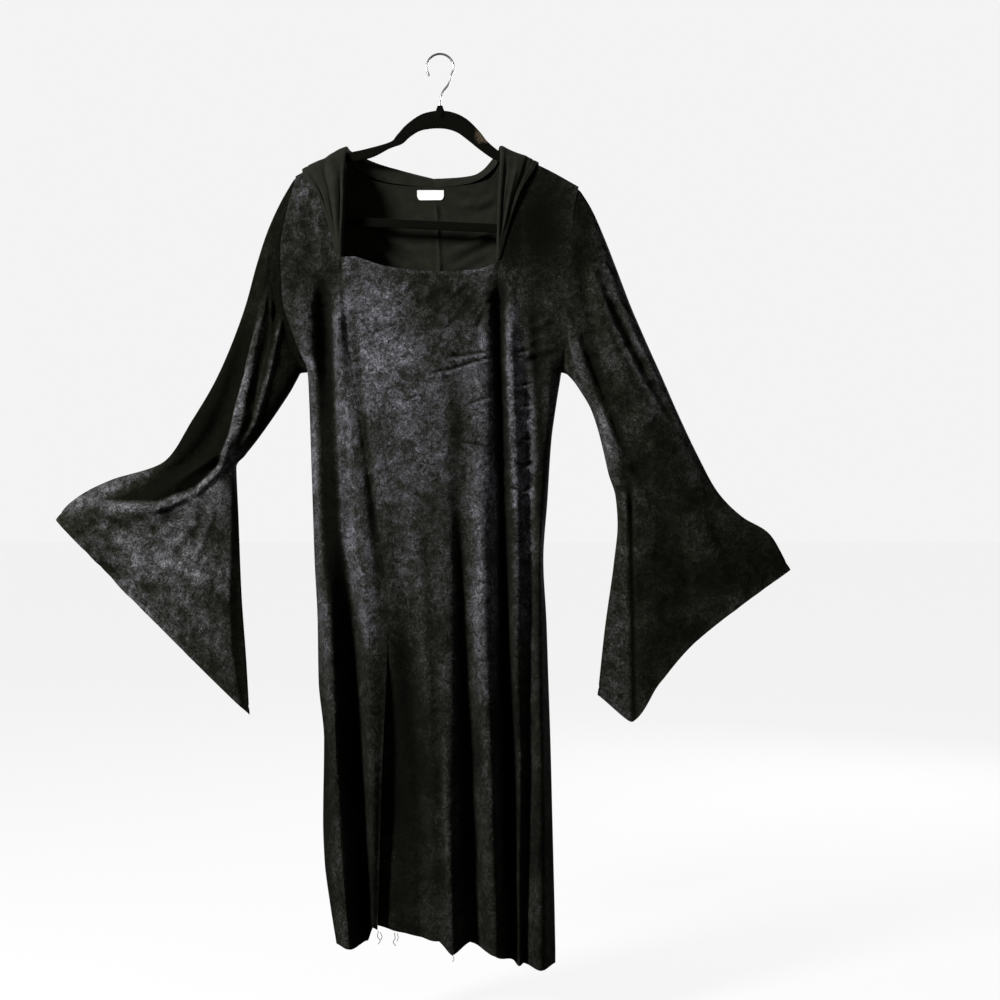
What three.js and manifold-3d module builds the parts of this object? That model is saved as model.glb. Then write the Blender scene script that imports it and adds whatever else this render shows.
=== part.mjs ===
// Hooded crushed-velvet gown on a flocked hanger, hung by the hanger's hook.
// Millimetres, +Z up, +X to the viewer's right, front of the gown towards -Y.
// The origin is the inside of the hook's top, where a rail bears.
import * as THREE from "three";
import Module from "manifold-3d";

const wasm = await Module();
wasm.setup();

// ---- driving sizes ----
const WALL = 2; // cloth thickness
const SEAM = 0.3; // gap between two sewn pieces
const SHOULDER_R = 4.5; // half-depth of the cloth folded over the hanger's arm
const NECK_Z = -331.2; // height of the front neckline's corners
const UNDERARM_Z = -507.2;
const STRAIGHT_Z = -1000; // rows are level down to here, then run to the hem
const HEM_Z = -1420;
const HANGER_T = 5.5; // thickness of the hanger's frame
const WIRE_R = 1.7; // hook wire
const HOOK_R = 20; // inner radius of the hook

// ---- small maths ----
const lerp = (a, b, t) => a + (b - a) * t;
const clamp = (v, a, b) => Math.min(b, Math.max(a, v));
const smooth = (t) => ((t = clamp(t, 0, 1)), t * t * (3 - 2 * t));

// Smooth value through rows [key, v1, v2, ...] sorted by key either way, with no overshoot.
function along(rows, key, column = 1) {
  const dir = rows[1][0] > rows[0][0] ? 1 : -1;
  const k = key * dir;
  const n = rows.length;
  if (k <= rows[0][0] * dir) return rows[0][column];
  if (k >= rows[n - 1][0] * dir) return rows[n - 1][column];
  let i = 0;
  while (rows[i + 1][0] * dir < k) i++;
  const slope = (j) =>
    j < 0 || j >= n - 1
      ? 0
      : (rows[j + 1][column] - rows[j][column]) / ((rows[j + 1][0] - rows[j][0]) * dir);
  const knot = (j) => {
    if (j === 0) return slope(0);
    if (j === n - 1) return slope(n - 2);
    const a = slope(j - 1);
    const b = slope(j);
    return a * b <= 0 ? 0 : (2 * a * b) / (a + b);
  };
  const w = (rows[i + 1][0] - rows[i][0]) * dir;
  const t = (k - rows[i][0] * dir) / w;
  const m0 = knot(i) * w;
  const m1 = knot(i + 1) * w;
  const t2 = t * t;
  const t3 = t2 * t;
  return (
    rows[i][column] * (2 * t3 - 3 * t2 + 1) +
    m0 * (t3 - 2 * t2 + t) +
    rows[i + 1][column] * (-2 * t3 + 3 * t2) +
    m1 * (t3 - t2)
  );
}

// ---- the gown's outline: armhole seams down to the underarm, side seams below ----
// z, left x, right x
const OUTLINE = [
  [-200, -230.4, 224],
  [-256, -243.2, 212.8],
  [-312, -251.2, 208],
  [-392, -248, 203.2],
  [-464, -227.2, 200],
  [UNDERARM_Z, -211.2, 193.6],
  [-568, -208, 184],
  [-616, -206.4, 177.6],
  [-712, -203.2, 171.2],
  [-808, -200, 164.8],
  [-904, -195.2, 169.6],
  [-1000, -193.6, 172.8],
  [-1096, -184.8, 176],
  [-1224, -186.4, 179.2],
  [-1288, -184, 180.8],
  [-1352, -176, 182.4],
  [-1432, -163.2, 184],
];
const leftX = (z) => along(OUTLINE, z, 1);
const rightX = (z) => along(OUTLINE, z, 2);

// Shoulder seams, which lie on the hanger's arms: x, z
const SHOULDER = [
  [-230.4, -194.5],
  [-208, -182.2],
  [-180, -169.5],
  [-152, -156],
  [99, -153.5],
  [128, -164.5],
  [168, -182],
  [224, -212.8],
];
const shoulderZ = (x) => along(SHOULDER, x);

// Back neckline: x, z
const BACK_NECK = [
  [-152, -156],
  [-148, -166],
  [-138, -182],
  [-110, -196],
  [-60, -204],
  [-11, -206],
  [40, -203],
  [78, -194],
  [92, -178],
  [97, -164],
  [99.2, -153.5],
];
// Front neckline: x, z
const FRONT_NECK = [
  [-155.2, -328],
  [-136, -327],
  [-120, -331.2],
  [-96, -339.2],
  [-64, -345.6],
  [0, -350.4],
  [48, -348.8],
  [72, -344],
  [92.8, -335],
];

// Half-depth of the gown by distance below the shoulder: h, front, back
const DEPTH = [
  [SHOULDER_R, 4.5, 4.5],
  [12, 7.5, 9],
  [30, 14, 20],
  [60, 20, 31],
  [120, 27, 39],
  [200, 30, 42],
  [400, 32, 43],
  [1250, 33, 48],
];
// Half-width of the armhole by fraction of its height
const ARMHOLE = [
  [0.015, 4.5],
  [0.04, 7],
  [0.1, 14],
  [0.2, 22],
  [0.35, 29],
  [0.55, 32],
  [0.75, 27],
  [0.88, 17],
  [0.95, 9],
  [0.985, 4],
  [1, 0],
];

// Vertical folds. Each line runs down the cloth: x at six heights (null follows the outline),
// then how far it stands in (+) or out (-) at five of them, then its hem height.
const HEIGHTS = [-176, NECK_Z, -616, -904, -1160, -1416];
const FRONT_RIGHT = [
  ["side", null, [0, 0, 0, 0, 0], -1421],
  ["pipe", [-211.2, -224, -179.2, -169.6, -160, -140.8], [0, -8, -16, -20, -25], -1418],
  ["hollow", [-188.8, -184, -153.6, -140.8, -131.2, -116.8], [0, 10, 22, 30, 36], -1422],
  ["ridge", [-169.6, -164.8, -137.6, -112, -105.6, -106.4], [0, -4, -8, -4, 6], -1391],
  ["flap", [-152, -155.2, -121.6, -81.6, -91.2, -99.2], [0, 0, 0, 4, 12], -1396],
];
const FRONT_CENTRE = [
  ["seam", [-152, -155.2, -121.6, -81.6, -90.4, -100.8], [0, 0, 0, 26, 34], -1394],
  ["shade", [-104, -104, -76.8, -56, -40, -32], [0, -2, 6, 14, 12], -1405],
  ["soft", [-56, -56, -32, -16, -6.4, 0], [0, -3, -5, -6, -8], -1407],
  ["tab", [0, 0, 3.2, 9.6, 16, 20.8], [0, -2, -6, -14, -24], -1425],
  ["hollow", [32, 32, 35.2, 41.6, 46.4, 48], [0, 4, 12, 22, 30], -1417],
  ["pipe", [60.8, 60.8, 64, 70.4, 80, 88], [0, -5, -12, -20, -26], -1426],
  ["seam", [99.2, 92.8, 94.4, 100.8, 110.4, 116.8], [0, 10, 18, 26, 22], -1446],
];
const FRONT_LEFT = [
  FRONT_CENTRE[6],
  ["small pipe", [107.2, 102.4, 112, 118.4, 126.4, 126.4], [0, -6, -8, -8, -12], -1447],
  ["small hollow", [128, 128, 140.8, 142.4, 139.2, 133.6], [0, 8, 10, 8, 6], -1447],
  ["side pipe", [172.8, 164.8, 161.6, 156.8, 160, 160], [0, -8, -12, -20, -30], -1450],
  ["side", null, [0, 0, 0, 0, 0], -1452],
];
const BACK_CENTRE = ["centre", [-11.2, -1.6, 1.6, 3.2, 3.2, 4.8], [0, 0, -2, -4, -4], -1408];
const BACK_RIGHT = [
  ["side", null, [0, 0, 0, 0, 0], -1421],
  ["pipe", [-195.2, -184, -163.2, -156.8, -152, -140.8], [0, 4, 8, 12, 16], -1412],
  ["hollow", [-152, -150.4, -124.8, -118.4, -112, -105.6], [0, -3, -6, -6, -7], -1402],
  ["pipe", [-76.8, -72, -67.2, -64, -60.8, -56], [0, 4, 8, 12, 16], -1400],
  BACK_CENTRE,
];
const BACK_LEFT = [
  BACK_CENTRE,
  ["pipe", [48, 64, 60.8, 64, 70.4, 73.6], [0, 4, 8, 12, 16], -1420],
  ["hollow", [99.2, 99.2, 105.6, 108.8, 115.2, 118.4], [0, -3, -6, -6, -7], -1432],
  ["pipe", [160, 153.6, 144, 144, 150.4, 155.2], [0, 4, 8, 12, 16], -1444],
  ["side", null, [0, 0, 0, 0, 0], -1452],
];

// Rows of cloth: distances below the shoulder, then levels below the neckline's corners
const TOP_ROWS = [0, 1.3, SHOULDER_R, 14, 36, 72];
const LEVELS = [
  NECK_Z, -380, -425, -465, -493, UNDERARM_Z, -540, -616, -700, -785, -865, -930, STRAIGHT_Z,
  -1080, -1160, -1240, -1320, -1380, HEM_Z,
];

const lineX = (line, z, isLeft) =>
  line[1] ? along(HEIGHTS.map((h, i) => [h, line[1][i]]), z) : isLeft ? leftX(z) : rightX(z);
const lineOut = (line, z) => along([[NECK_Z, 0], ...HEIGHTS.slice(2).map((h, i) => [h, line[2][i + 1]])], z);

// Base form, before the folds: half-depth at x, z on the front (face 0) or back (face 1).
function halfDepth(x, z, face) {
  const h = Math.max(0, shoulderZ(x) - z);
  if (h < SHOULDER_R) return SHOULDER_R * Math.sqrt(Math.max(0, 1 - (1 - h / SHOULDER_R) ** 2));
  const l = leftX(z);
  const r = rightX(z);
  const u = clamp((x - l) / (r - l), 0, 1);
  const tau = h / (shoulderZ(x) - UNDERARM_Z);
  const power = lerp(1, 0.5, smooth((tau - 0.75) / 0.25));
  const s = Math.max(0, 1 - Math.abs(2 * u - 1) ** 3) ** power;
  return lerp(along(ARMHOLE, tau), along(DEPTH, h, 1 + face), s);
}

// A panel's surface: y at x, z, from the base form and the panel's fold lines.
function panelY(lines, face, x, z) {
  const xs = lines.map((l, i) => lineX(l, z, i === 0));
  let i = 0;
  while (i < xs.length - 2 && x > xs[i + 1]) i++;
  const t = smooth((x - xs[i]) / (xs[i + 1] - xs[i]));
  const out = lerp(lineOut(lines[i], z), lineOut(lines[i + 1], z), t);
  const ramp = smooth((NECK_Z - z) / 150);
  return (face ? 1 : -1) * halfDepth(x, z, face) + out * ramp;
}

// Closed solid from a grid of points and normals, half the wall on either side.
// grid[row][col] = {p, n}; a wrapped grid joins its last column to its first.
function thicken(grid, wall, wrap = false) {
  const rows = grid.length;
  const cols = grid[0].length;
  const pos = [];
  const idx = [];
  for (const side of [0.5, -0.5])
    for (const row of grid) for (const { p, n } of row) pos.push(...p.clone().addScaledVector(n, side * wall).toArray());
  const at = (s, r, c) => s * rows * cols + r * cols + (c % cols);
  const quad = (a, b, c, d) => idx.push(a, b, c, a, c, d);
  const last = wrap ? cols : cols - 1;
  for (let r = 0; r < rows - 1; r++)
    for (let c = 0; c < last; c++) {
      quad(at(0, r, c), at(0, r + 1, c), at(0, r + 1, c + 1), at(0, r, c + 1));
      idx.push(at(1, r, c), at(1, r + 1, c + 1), at(1, r + 1, c), at(1, r, c), at(1, r, c + 1), at(1, r + 1, c + 1));
    }
  for (let c = 0; c < last; c++) {
    quad(at(0, 0, c), at(0, 0, c + 1), at(1, 0, c + 1), at(1, 0, c));
    quad(at(0, rows - 1, c + 1), at(0, rows - 1, c), at(1, rows - 1, c), at(1, rows - 1, c + 1));
  }
  if (!wrap)
    for (let r = 0; r < rows - 1; r++) {
      quad(at(0, r + 1, 0), at(0, r, 0), at(1, r, 0), at(1, r + 1, 0));
      quad(at(0, r, cols - 1), at(0, r + 1, cols - 1), at(1, r + 1, cols - 1), at(1, r, cols - 1));
    }
  return solidMesh(pos, idx);
}

// Indexed geometry with its faces turned outwards.
function solidMesh(pos, idx) {
  let v = 0;
  for (let i = 0; i < idx.length; i += 3) {
    const [a, b, c] = [idx[i], idx[i + 1], idx[i + 2]].map((k) => new THREE.Vector3().fromArray(pos, 3 * k));
    v += a.dot(b.cross(c));
  }
  if (v < 0) for (let i = 0; i < idx.length; i += 3) [idx[i + 1], idx[i + 2]] = [idx[i + 2], idx[i + 1]];
  const g = new THREE.BufferGeometry();
  g.setAttribute("position", new THREE.BufferAttribute(new Float32Array(pos), 3));
  g.setIndex(idx);
  g.computeVertexNormals();
  return g;
}

const toSolid = (g) =>
  new wasm.Manifold(
    new wasm.Mesh({ numProp: 3, vertProperties: Float32Array.from(g.attributes.position.array), triVerts: Uint32Array.from(g.index.array) }),
  );
// Geometry of a solid's largest piece.
function fromSolid(solid) {
  const largest = (s) => s.decompose().sort((a, b) => b.volume() - a.volume())[0];
  let geometry;
  let s = solid;
  for (let k = 0; k < 3; k++) {
    const m = largest(s.simplify(0.05)).getMesh(); // drops the slivers that a cut leaves
    geometry = weld(solidMesh(Array.from(m.vertProperties), Array.from(m.triVerts)), 500);
    s = toSolid(geometry);
  }
  return geometry;
}

// One body panel. lines: its fold lines; face: 0 front, 1 back; top: "shoulder", "neck" or "both";
// grow > 0 makes the oversize copy that trims a neighbour.
function panel(lines, face, top, { grow = 0, per = 4 } = {}) {
  const sign = face ? 1 : -1;
  const n = lines.length - 1;
  const cols = [];
  for (let i = 0; i < n; i++) {
    const a = lines[i][1] === null;
    const b = lines[i + 1][1] === null;
    const steps = a || b ? per + 1 : per;
    for (let k = 0; k < steps; k++) {
      const t = k / steps;
      cols.push([i, a ? t * t : b ? 1 - (1 - t) ** 2 : t]);
    }
  }
  cols.push([n - 1, 1]);
  const levels = LEVELS.map((z) => ["level", z]);
  const rows = top === "centre" ? [["neckline", 0], ...levels.slice(1)] : [...TOP_ROWS.map((h) => ["top", h]), ...levels];
  const grid = rows.map(([kind, value]) =>
    cols.map(([i, t], c) => {
      const hem = lerp(lines[i][3], lines[i + 1][3], t);
      const xAt = (z) => lerp(lineX(lines[i], z, i === 0), lineX(lines[i + 1], z, false), t);
      let z = value;
      if (kind === "top") {
        // the top edge first, then rows that spread down to the neckline's level
        let x = xAt(-176);
        for (let k = 0; k < 6; k++) {
          const edge = topEdge(x, face, top);
          z = edge - value - (edge - NECK_Z - 100) * (value / 100) ** 2 * (value > SHOULDER_R ? 1 : 0);
          x = xAt(Math.min(z, -176));
          if (lines[i + (t === 1 ? 1 : 0)][1] === null && (t === 0 || t === 1)) x = xAt(z);
        }
      } else if (kind === "neckline") {
        z = NECK_Z;
        for (let k = 0; k < 4; k++) z = along(FRONT_NECK, xAt(z));
      } else if (value < STRAIGHT_Z) {
        z = STRAIGHT_Z + ((value - STRAIGHT_Z) * (hem - STRAIGHT_Z)) / (HEM_Z - STRAIGHT_Z);
      }
      let x = xAt(kind === "top" ? Math.min(z, -176) : z);
      const atSide = (c === 0 && lines[0][1] === null) || (c === cols.length - 1 && lines[n][1] === null);
      if (atSide) x = c === 0 ? leftX(z) : rightX(z);
      const edgeC = c === 0 ? 1 : c === cols.length - 1 ? -1 : 0;
      const y = panelY(lines, face, x, z);
      const e = 0.4;
      const fx = (panelY(lines, face, x + e, z) - panelY(lines, face, x - e, z)) / (2 * e);
      const fz = (panelY(lines, face, x, z + e) - panelY(lines, face, x, z - e)) / (2 * e);
      let normal = new THREE.Vector3(-sign * fx, sign, -sign * fz).normalize();
      const p = new THREE.Vector3(x, y, z);
      const trim = SEAM / 2;
      const onShoulder = kind === "top" && value === 0 && (face === 0 || x <= -151.9 || x >= 99.1);
      if (onShoulder) {
        const slope = (shoulderZ(x + 1) - shoulderZ(x - 1)) / 2;
        normal = new THREE.Vector3(-slope, 0, 1).normalize();
        p.y = sign * trim;
      } else if (atSide && z <= UNDERARM_Z + 0.01) {
        normal = new THREE.Vector3(-edgeC, 0, 0);
        p.y = sign * trim;
      } else if (!atSide && edgeC) {
        p.x += (edgeC * trim) / Math.hypot(1, fx);
        p.y = panelY(lines, face, p.x, z);
      }
      return { p, n: normal };
    }),
  );
  if (grow) {
    const beyond = (a, b) => ({ p: a.p.clone().add(a.p.clone().sub(b.p).setLength(1.6 * grow)), n: a.n });
    for (const row of grid) {
      row.unshift(beyond(row[0], row[1]));
      row.push(beyond(row[row.length - 1], row[row.length - 2]));
    }
    grid.unshift(grid[0].map((a, c) => beyond(a, grid[1][c])));
  }
  return thicken(grid, WALL + 2 * grow);
}
function topEdge(x, face, top) {
  if (face === 1 && x > -152 && x < 99.2) return along(BACK_NECK, x);
  return shoulderZ(x);
}

// ---- sleeves: one tube each, from the armhole to the open bell ----
// outer x, z, inner x, z, half-depth; the first row is the armhole itself
const SLEEVE_RIGHT = [
  [-230.4, -194.5, -211.2, -507.2, 30],
  [-254.4, -236.8, -222.4, -508.5, 30],
  [-275.2, -283.2, -228.8, -518.4, 31],
  [-292.8, -337.6, -238.4, -536, 31],
  [-308.8, -396.8, -252.8, -558.4, 30],
  [-329.6, -456, -273.6, -588.8, 29],
  [-356.8, -518.4, -294.4, -617.6, 28],
  [-395.2, -584, -312, -640, 27],
  [-443.2, -652.8, -326.4, -660.8, 26],
  [-524.8, -680, -323.2, -736, 24],
  [-568.5, -700.8, -318.4, -858, 21],
  [-596.5, -721.6, -310.4, -971, 18],
  [-614, -744, -305.6, -1055, 15],
];
const SLEEVE_LEFT = [
  [224, -212.8, 193.6, -507.2, 30],
  [243.2, -244.8, 201.6, -509.5, 30],
  [262.4, -289.6, 212.8, -520, 31],
  [281.6, -340.8, 227.2, -540.5, 31],
  [302.4, -396.8, 241.6, -565.5, 30],
  [326.4, -452.8, 252.8, -597.5, 29],
  [353.6, -513.6, 262.4, -635.2, 28],
  [382.4, -579.2, 270.4, -670.4, 27],
  [412.8, -643.2, 281.6, -707.2, 26],
  [444.8, -700.8, 284.8, -752, 24],
  [483.2, -739.2, 278.4, -816, 21],
  [524.8, -764.8, 264, -920, 18],
  [560, -824, 252.8, -1024, 15],
];
// Folds that run down a sleeve's front: section, fraction across, stands in (+) or out (-), width
const FOLDS_RIGHT = [
  ["swag", [[2, 0.25], [3.6, 0.3], [6.8, 0.78], [8.6, 0.46], [9.4, 0.38], [10.5, 0.1], [12, 0.05]], [[0, 0], [3, -5], [6, -8], [9, -12], [12, -6]], 0.1],
  ["hollow", [[2, 0.1], [4, 0.12], [6.8, 0.4], [8.6, 0.2], [9.4, 0.14], [10.5, 0.0], [12, 0]], [[0, 0], [3, 4], [6, 9], [9, 10], [12, 0]], 0.14],
  ["inner", [[2, 0.55], [4, 0.6], [6, 0.85], [12, 0.9]], [[0, 0], [4, -6], [6, 0], [12, 0]], 0.08],
];
const FOLDS_LEFT = [
  ["drape", [[1, 0.2], [4, 0.42], [8, 0.35], [12, 0.3]], [[0, 0], [3, -7], [7, -5], [12, -9]], 0.12],
  ["hollow", [[1, 0.4], [4, 0.66], [8, 0.6], [12, 0.55]], [[0, 0], [3, 7], [7, 6], [12, 8]], 0.14],
];
// How far the left hem bows below the straight line from tip to inner corner: fraction, mm
const HEM_BOW = [
  [0, 0],
  [0.25, 2],
  [0.515, 13],
  [0.745, 36],
  [0.936, 65],
  [1, 0],
];

function sleeve(table, folds, isLeft, bow) {
  const side = isLeft ? rightX : leftX;
  // the armhole's rows, as fractions of its height, down the front and up the back
  const rowZ = [];
  for (const h of TOP_ROWS) {
    let z = -200;
    for (let k = 0; k < 6; k++) {
      const edge = shoulderZ(side(z));
      z = edge - h - (edge - NECK_Z - 100) * (h / 100) ** 2 * (h > SHOULDER_R ? 1 : 0);
    }
    rowZ.push(z);
  }
  for (const z of LEVELS) if (z >= UNDERARM_Z) rowZ.push(z);
  const tipZ = rowZ[0];
  const last = rowZ.length - 1;
  const ring = [];
  for (let i = 0; i <= last; i++) ring.push([i, -1]);
  for (let i = last - 1; i > 0; i--) ring.push([i, 1]);
  const keyed = table.map((row, i) => [i, ...row]);
  const tau = (i) => (tipZ - rowZ[i]) / (tipZ - UNDERARM_Z);
  const point = (k, [i, face]) => {
    const t = tau(i);
    const x0 = side(rowZ[i]);
    const y0 = face * halfDepth(x0, rowZ[i], face > 0 ? 1 : 0);
    const o = [along(keyed, k, 1), along(keyed, k, 2)];
    const e = [along(keyed, k, 3), along(keyed, k, 4)];
    const half = along(keyed, k, 5);
    const oval = half * Math.max(0, 1 - Math.abs(2 * t - 1) ** 2.6) ** 0.5;
    const p = new THREE.Vector3(lerp(o[0], e[0], t), face * oval, lerp(o[1], e[1], t));
    if (face < 0)
      for (const [, path, out, width] of folds)
        p.y += along(out, k) * Math.exp(-(((t - along(path, k)) / width) ** 2)) * Math.sin(Math.PI * clamp(t, 0, 1)) ** 0.5;
    const b = bow ? along(HEM_BOW, t) * smooth((k - 7.5) / 4.5) : 0;
    const dir = new THREE.Vector2(o[1] - e[1], e[0] - o[0]).normalize();
    p.x += dir.x * b * (isLeft ? 1 : 1);
    p.z += -Math.abs(dir.y) * b;
    // leaves the armhole along its own curve, clear of the body's cut edge
    const clear = 0.5 + 1.3 * smooth((t - 0.93) / 0.07) + 1.2 * (1 - smooth(t / 0.03));
    p.x += (x0 - lerp(table[0][0], table[0][2], t)) * (1 - smooth(k / 4)) + (isLeft ? 1 : -1) * clear * (1 - smooth(k / 2));
    p.y = lerp(y0, p.y, smooth(k / 1.6));
    return p;
  };
  const ks = [0, 0.5, 1.2, 2, 3, 4.1, 5.2, 6.2, 7, 7.7, 8.3, 8.9, 9.6, 10.4, 11.2, 12];
  const grid = ks.map((k) =>
    ring.map((r, c) => {
      const p = point(k, r);
      const a = point(k, ring[(c + ring.length - 1) % ring.length]);
      const b = point(k, ring[(c + 1) % ring.length]);
      const before = point(Math.max(k - 0.2, 0), r);
      const after = point(Math.min(k + 0.2, 12), r);
      const n = b.sub(a).cross(after.sub(before)).normalize();
      return { p, n };
    }),
  );
  return grid;
}

// ---- hood: two halves, sewn to the neck's edge, thrown back off the shoulders ----
// Eight stations along the neck from the front corner to the centre back. At each, eight points
// lead from the neck seam over the roll and down behind to the front edge of the hood.
const HOOD_RIGHT = [
  ["corner", [-153.2, -26, -328], [-153, -30, -327], [-156, -33, -326], [-158, -33.2, -325], [-160, -33, -324], [-161.5, -32.6, -323], [-163, -32.2, -322], [-164.5, -31.6, -321]],
  ["low", [-152.3, -25.5, -288], [-151.2, -31, -287], [-155, -36, -286], [-160, -36, -284], [-165, -34.5, -282], [-169, -33, -280], [-173, -31.8, -278], [-176, -31, -276]],
  ["mid", [-151.3, -22, -240], [-150, -29, -239], [-154, -36, -238], [-163, -36, -236], [-173, -33, -234], [-181, -30.5, -231], [-188, -29, -228], [-194, -28, -224]],
  ["high", [-150.5, -16, -200], [-149, -23, -198], [-154, -30, -196], [-167, -29, -195], [-182, -25, -193], [-196, -21, -192], [-208, -17, -193], [-216, -14.5, -196]],
  ["shoulder", [-149.8, 0, -154.5], [-149, 0, -150.5], [-153, 1, -149], [-166, 2, -153.5], [-181, 3, -163], [-196, 4, -171], [-208, 5, -177.5], [-219, 6, -184]],
  ["behind", [-141, 15, -174], [-140, 18, -157], [-143, 26, -149.5], [-160, 35, -160], [-178, 41, -188], [-192, 45, -212], [-202, 45, -222], [-208, 43, -226]],
  ["back", [-95, 30, -196], [-95, 31, -180], [-97, 37, -168], [-104, 47, -180], [-120, 56, -260], [-128, 64, -330], [-133, 76, -300], [-135, 72, -262]],
  ["centre", [-12, 34, -206], [-12, 37, -199], [-12, 44, -193], [-12, 53, -201], [-12, 58, -320], [-12, 70, -430], [-12, 90, -370], [-12, 84, -285]],
];
const HOOD_LEFT = [
  ["corner", [91, -26, -332.5], [90.6, -30, -332], [93, -33, -331.5], [94, -33.3, -331], [95, -33.2, -330], [95.8, -32.9, -329], [96.5, -32.5, -328], [97.2, -32, -327]],
  ["low", [92.4, -25.5, -290], [91.6, -31, -289], [94.5, -36, -288], [97.5, -36, -286], [100.5, -34.7, -284], [103.5, -33.5, -282], [106.5, -32.6, -280], [109.5, -31.8, -278]],
  ["mid", [94.6, -22, -240], [93.6, -29, -239], [97, -36, -238], [103, -36, -236], [110, -33, -234], [116, -30.6, -231], [122, -29.2, -228], [127.5, -28.4, -225]],
  ["high", [96.3, -16, -199], [95.2, -23, -197], [99.5, -30, -195], [109.5, -29, -194], [120.5, -25.5, -191.5], [131, -22, -190], [139, -18.5, -190.5], [146, -15.8, -192]],
  ["shoulder", [97, 0, -152.5], [96.2, 0, -148.5], [100, 1, -147], [112, 2, -152], [125, 3, -157], [138, 4, -162.5], [148, 5, -168], [158, 6, -173]],
  ["behind", [88, 15, -176], [87.4, 18, -162], [90, 26, -155.5], [103, 35, -165], [120, 41, -190], [132, 45, -212], [141, 45, -222], [147, 43, -226]],
  ["back", [52, 30, -198], [52, 31, -191], [54, 37, -185], [60, 47, -192], [74, 56, -262], [82, 64, -330], [86, 76, -300], [88, 72, -262]],
  ["centre", [-12, 34, -206], [-12, 37, -199], [-12, 44, -193], [-12, 53, -201], [-12, 58, -320], [-12, 70, -430], [-12, 90, -370], [-12, 84, -285]],
];

function catmull(points, t) {
  const n = points.length - 1;
  const i = Math.min(Math.floor(t), n - 1);
  const f = t - i;
  const at = (k) => points[clamp(k, 0, n)];
  const [a, b, c, d] = [at(i - 1), at(i), at(i + 1), at(i + 2)];
  const one = (j) =>
    0.5 * (2 * b[j] + (c[j] - a[j]) * f + (2 * a[j] - 5 * b[j] + 4 * c[j] - d[j]) * f * f + (3 * b[j] - a[j] - 3 * c[j] + d[j]) * f ** 3);
  return [one(0), one(1), one(2)];
}
function hoodHalf(isLeft) {
  const point = (s, t) => {
    const rows = (isLeft ? HOOD_LEFT : HOOD_RIGHT).map((row) => catmull(row.slice(1), t));
    return new THREE.Vector3(...catmull(rows, s));
  };
  const ss = [0, 0.6, 1.2, 1.8, 2.5, 3.1, 3.5, 3.8, 4, 4.2, 4.5, 4.8, 5.3, 5.9, 6.5, 7];
  const ts = [0, 0.5, 1, 1.5, 2, 2.6, 3.2, 4, 4.6, 5, 5.4, 6, 7];
  return ss.map((s) =>
    ts.map((t) => {
      const p = point(s, t);
      const e = 0.05;
      const du = point(Math.min(s + e, 7), t).sub(point(Math.max(s - e, 0), t));
      const dv = point(s, Math.min(t + e, 7)).sub(point(s, Math.max(t - e, 0)));
      const n = du.cross(dv).normalize();
      if (s === 7) {
        n.x = 0;
        n.normalize();
        p.x += ((isLeft ? 1 : -1) * SEAM) / 2;
      }
      return { p, n };
    }),
  );
}

// ---- hanger ----
// Outer edge from the left tip over the arch to the right tip: x, z
const HANGER_TOP = [
  [-222, -197.5], [-218, -191.8], [-192, -177.6], [-165, -164], [-152, -157.9], [-118.4, -150.4], [-80, -139.2], [-68.8, -128], [-56, -113.6],
  [-40, -100.8], [-24, -92.8], [0, -88.8], [24, -92.8], [44.8, -104], [64, -123.2], [75.2, -137.6], [91.2, -151.5],
  [99, -155.6], [128, -167.2], [168, -185], [208, -206.8], [212, -211.5],
];
// Round the right tip, along the bar's underside and round the left tip: x, z
const HANGER_BASE = [
  [212, -224], [206, -250], [196, -277], [184, -287], [150, -287.4], [-120, -274.6], [-180, -271.6], [-196, -268], [-210, -248], [-221, -212],
];
// The opening under the arch and the arms, above the bar: x, z
const HANGER_HOLE = [
  [-104, -163], [-96, -156.5], [-80, -149], [-60.8, -142.4], [-48, -131.2], [-32, -121.6], [-16, -118.4], [8, -118.4], [28.8, -124.8],
  [48, -139.2], [64, -152], [83.2, -165.5], [128, -184], [170, -204], [196, -218], [199, -226], [190, -262], [180, -272],
  [150, -273], [-120, -260.4], [-176, -257.6], [-188, -252], [-205, -220], [-206, -205], [-190, -193], [-152, -173.5],
];

function hangerFrame(grow = 0) {
  const shape = new THREE.Shape([...HANGER_TOP, ...HANGER_BASE].reverse().map(([x, z]) => new THREE.Vector2(x, z)));
  shape.holes.push(new THREE.Path(HANGER_HOLE.map(([x, z]) => new THREE.Vector2(x, z))));
  const bevel = 1.2;
  const g = new THREE.ExtrudeGeometry(shape, {
    depth: HANGER_T - 2 * bevel + 2 * grow,
    bevelThickness: bevel,
    bevelSize: bevel,
    bevelOffset: grow - bevel,
    bevelSegments: 1,
  });
  g.rotateX(Math.PI / 2);
  g.translate(0, HANGER_T / 2 - bevel + grow, 0);
  const frame = toSolid(weld(g));
  if (grow) return frame;
  const boss = new THREE.CylinderGeometry(4.3, 4.8, 20, 16).rotateX(Math.PI / 2).translate(0, 0, -91);
  const bore = new THREE.CylinderGeometry(WIRE_R + 0.6, WIRE_R + 0.6, 30, 12).rotateX(Math.PI / 2).translate(0, 0, -84);
  return fromSolid(frame.add(toSolid(weld(boss))).subtract(toSolid(weld(bore))));
}

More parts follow.
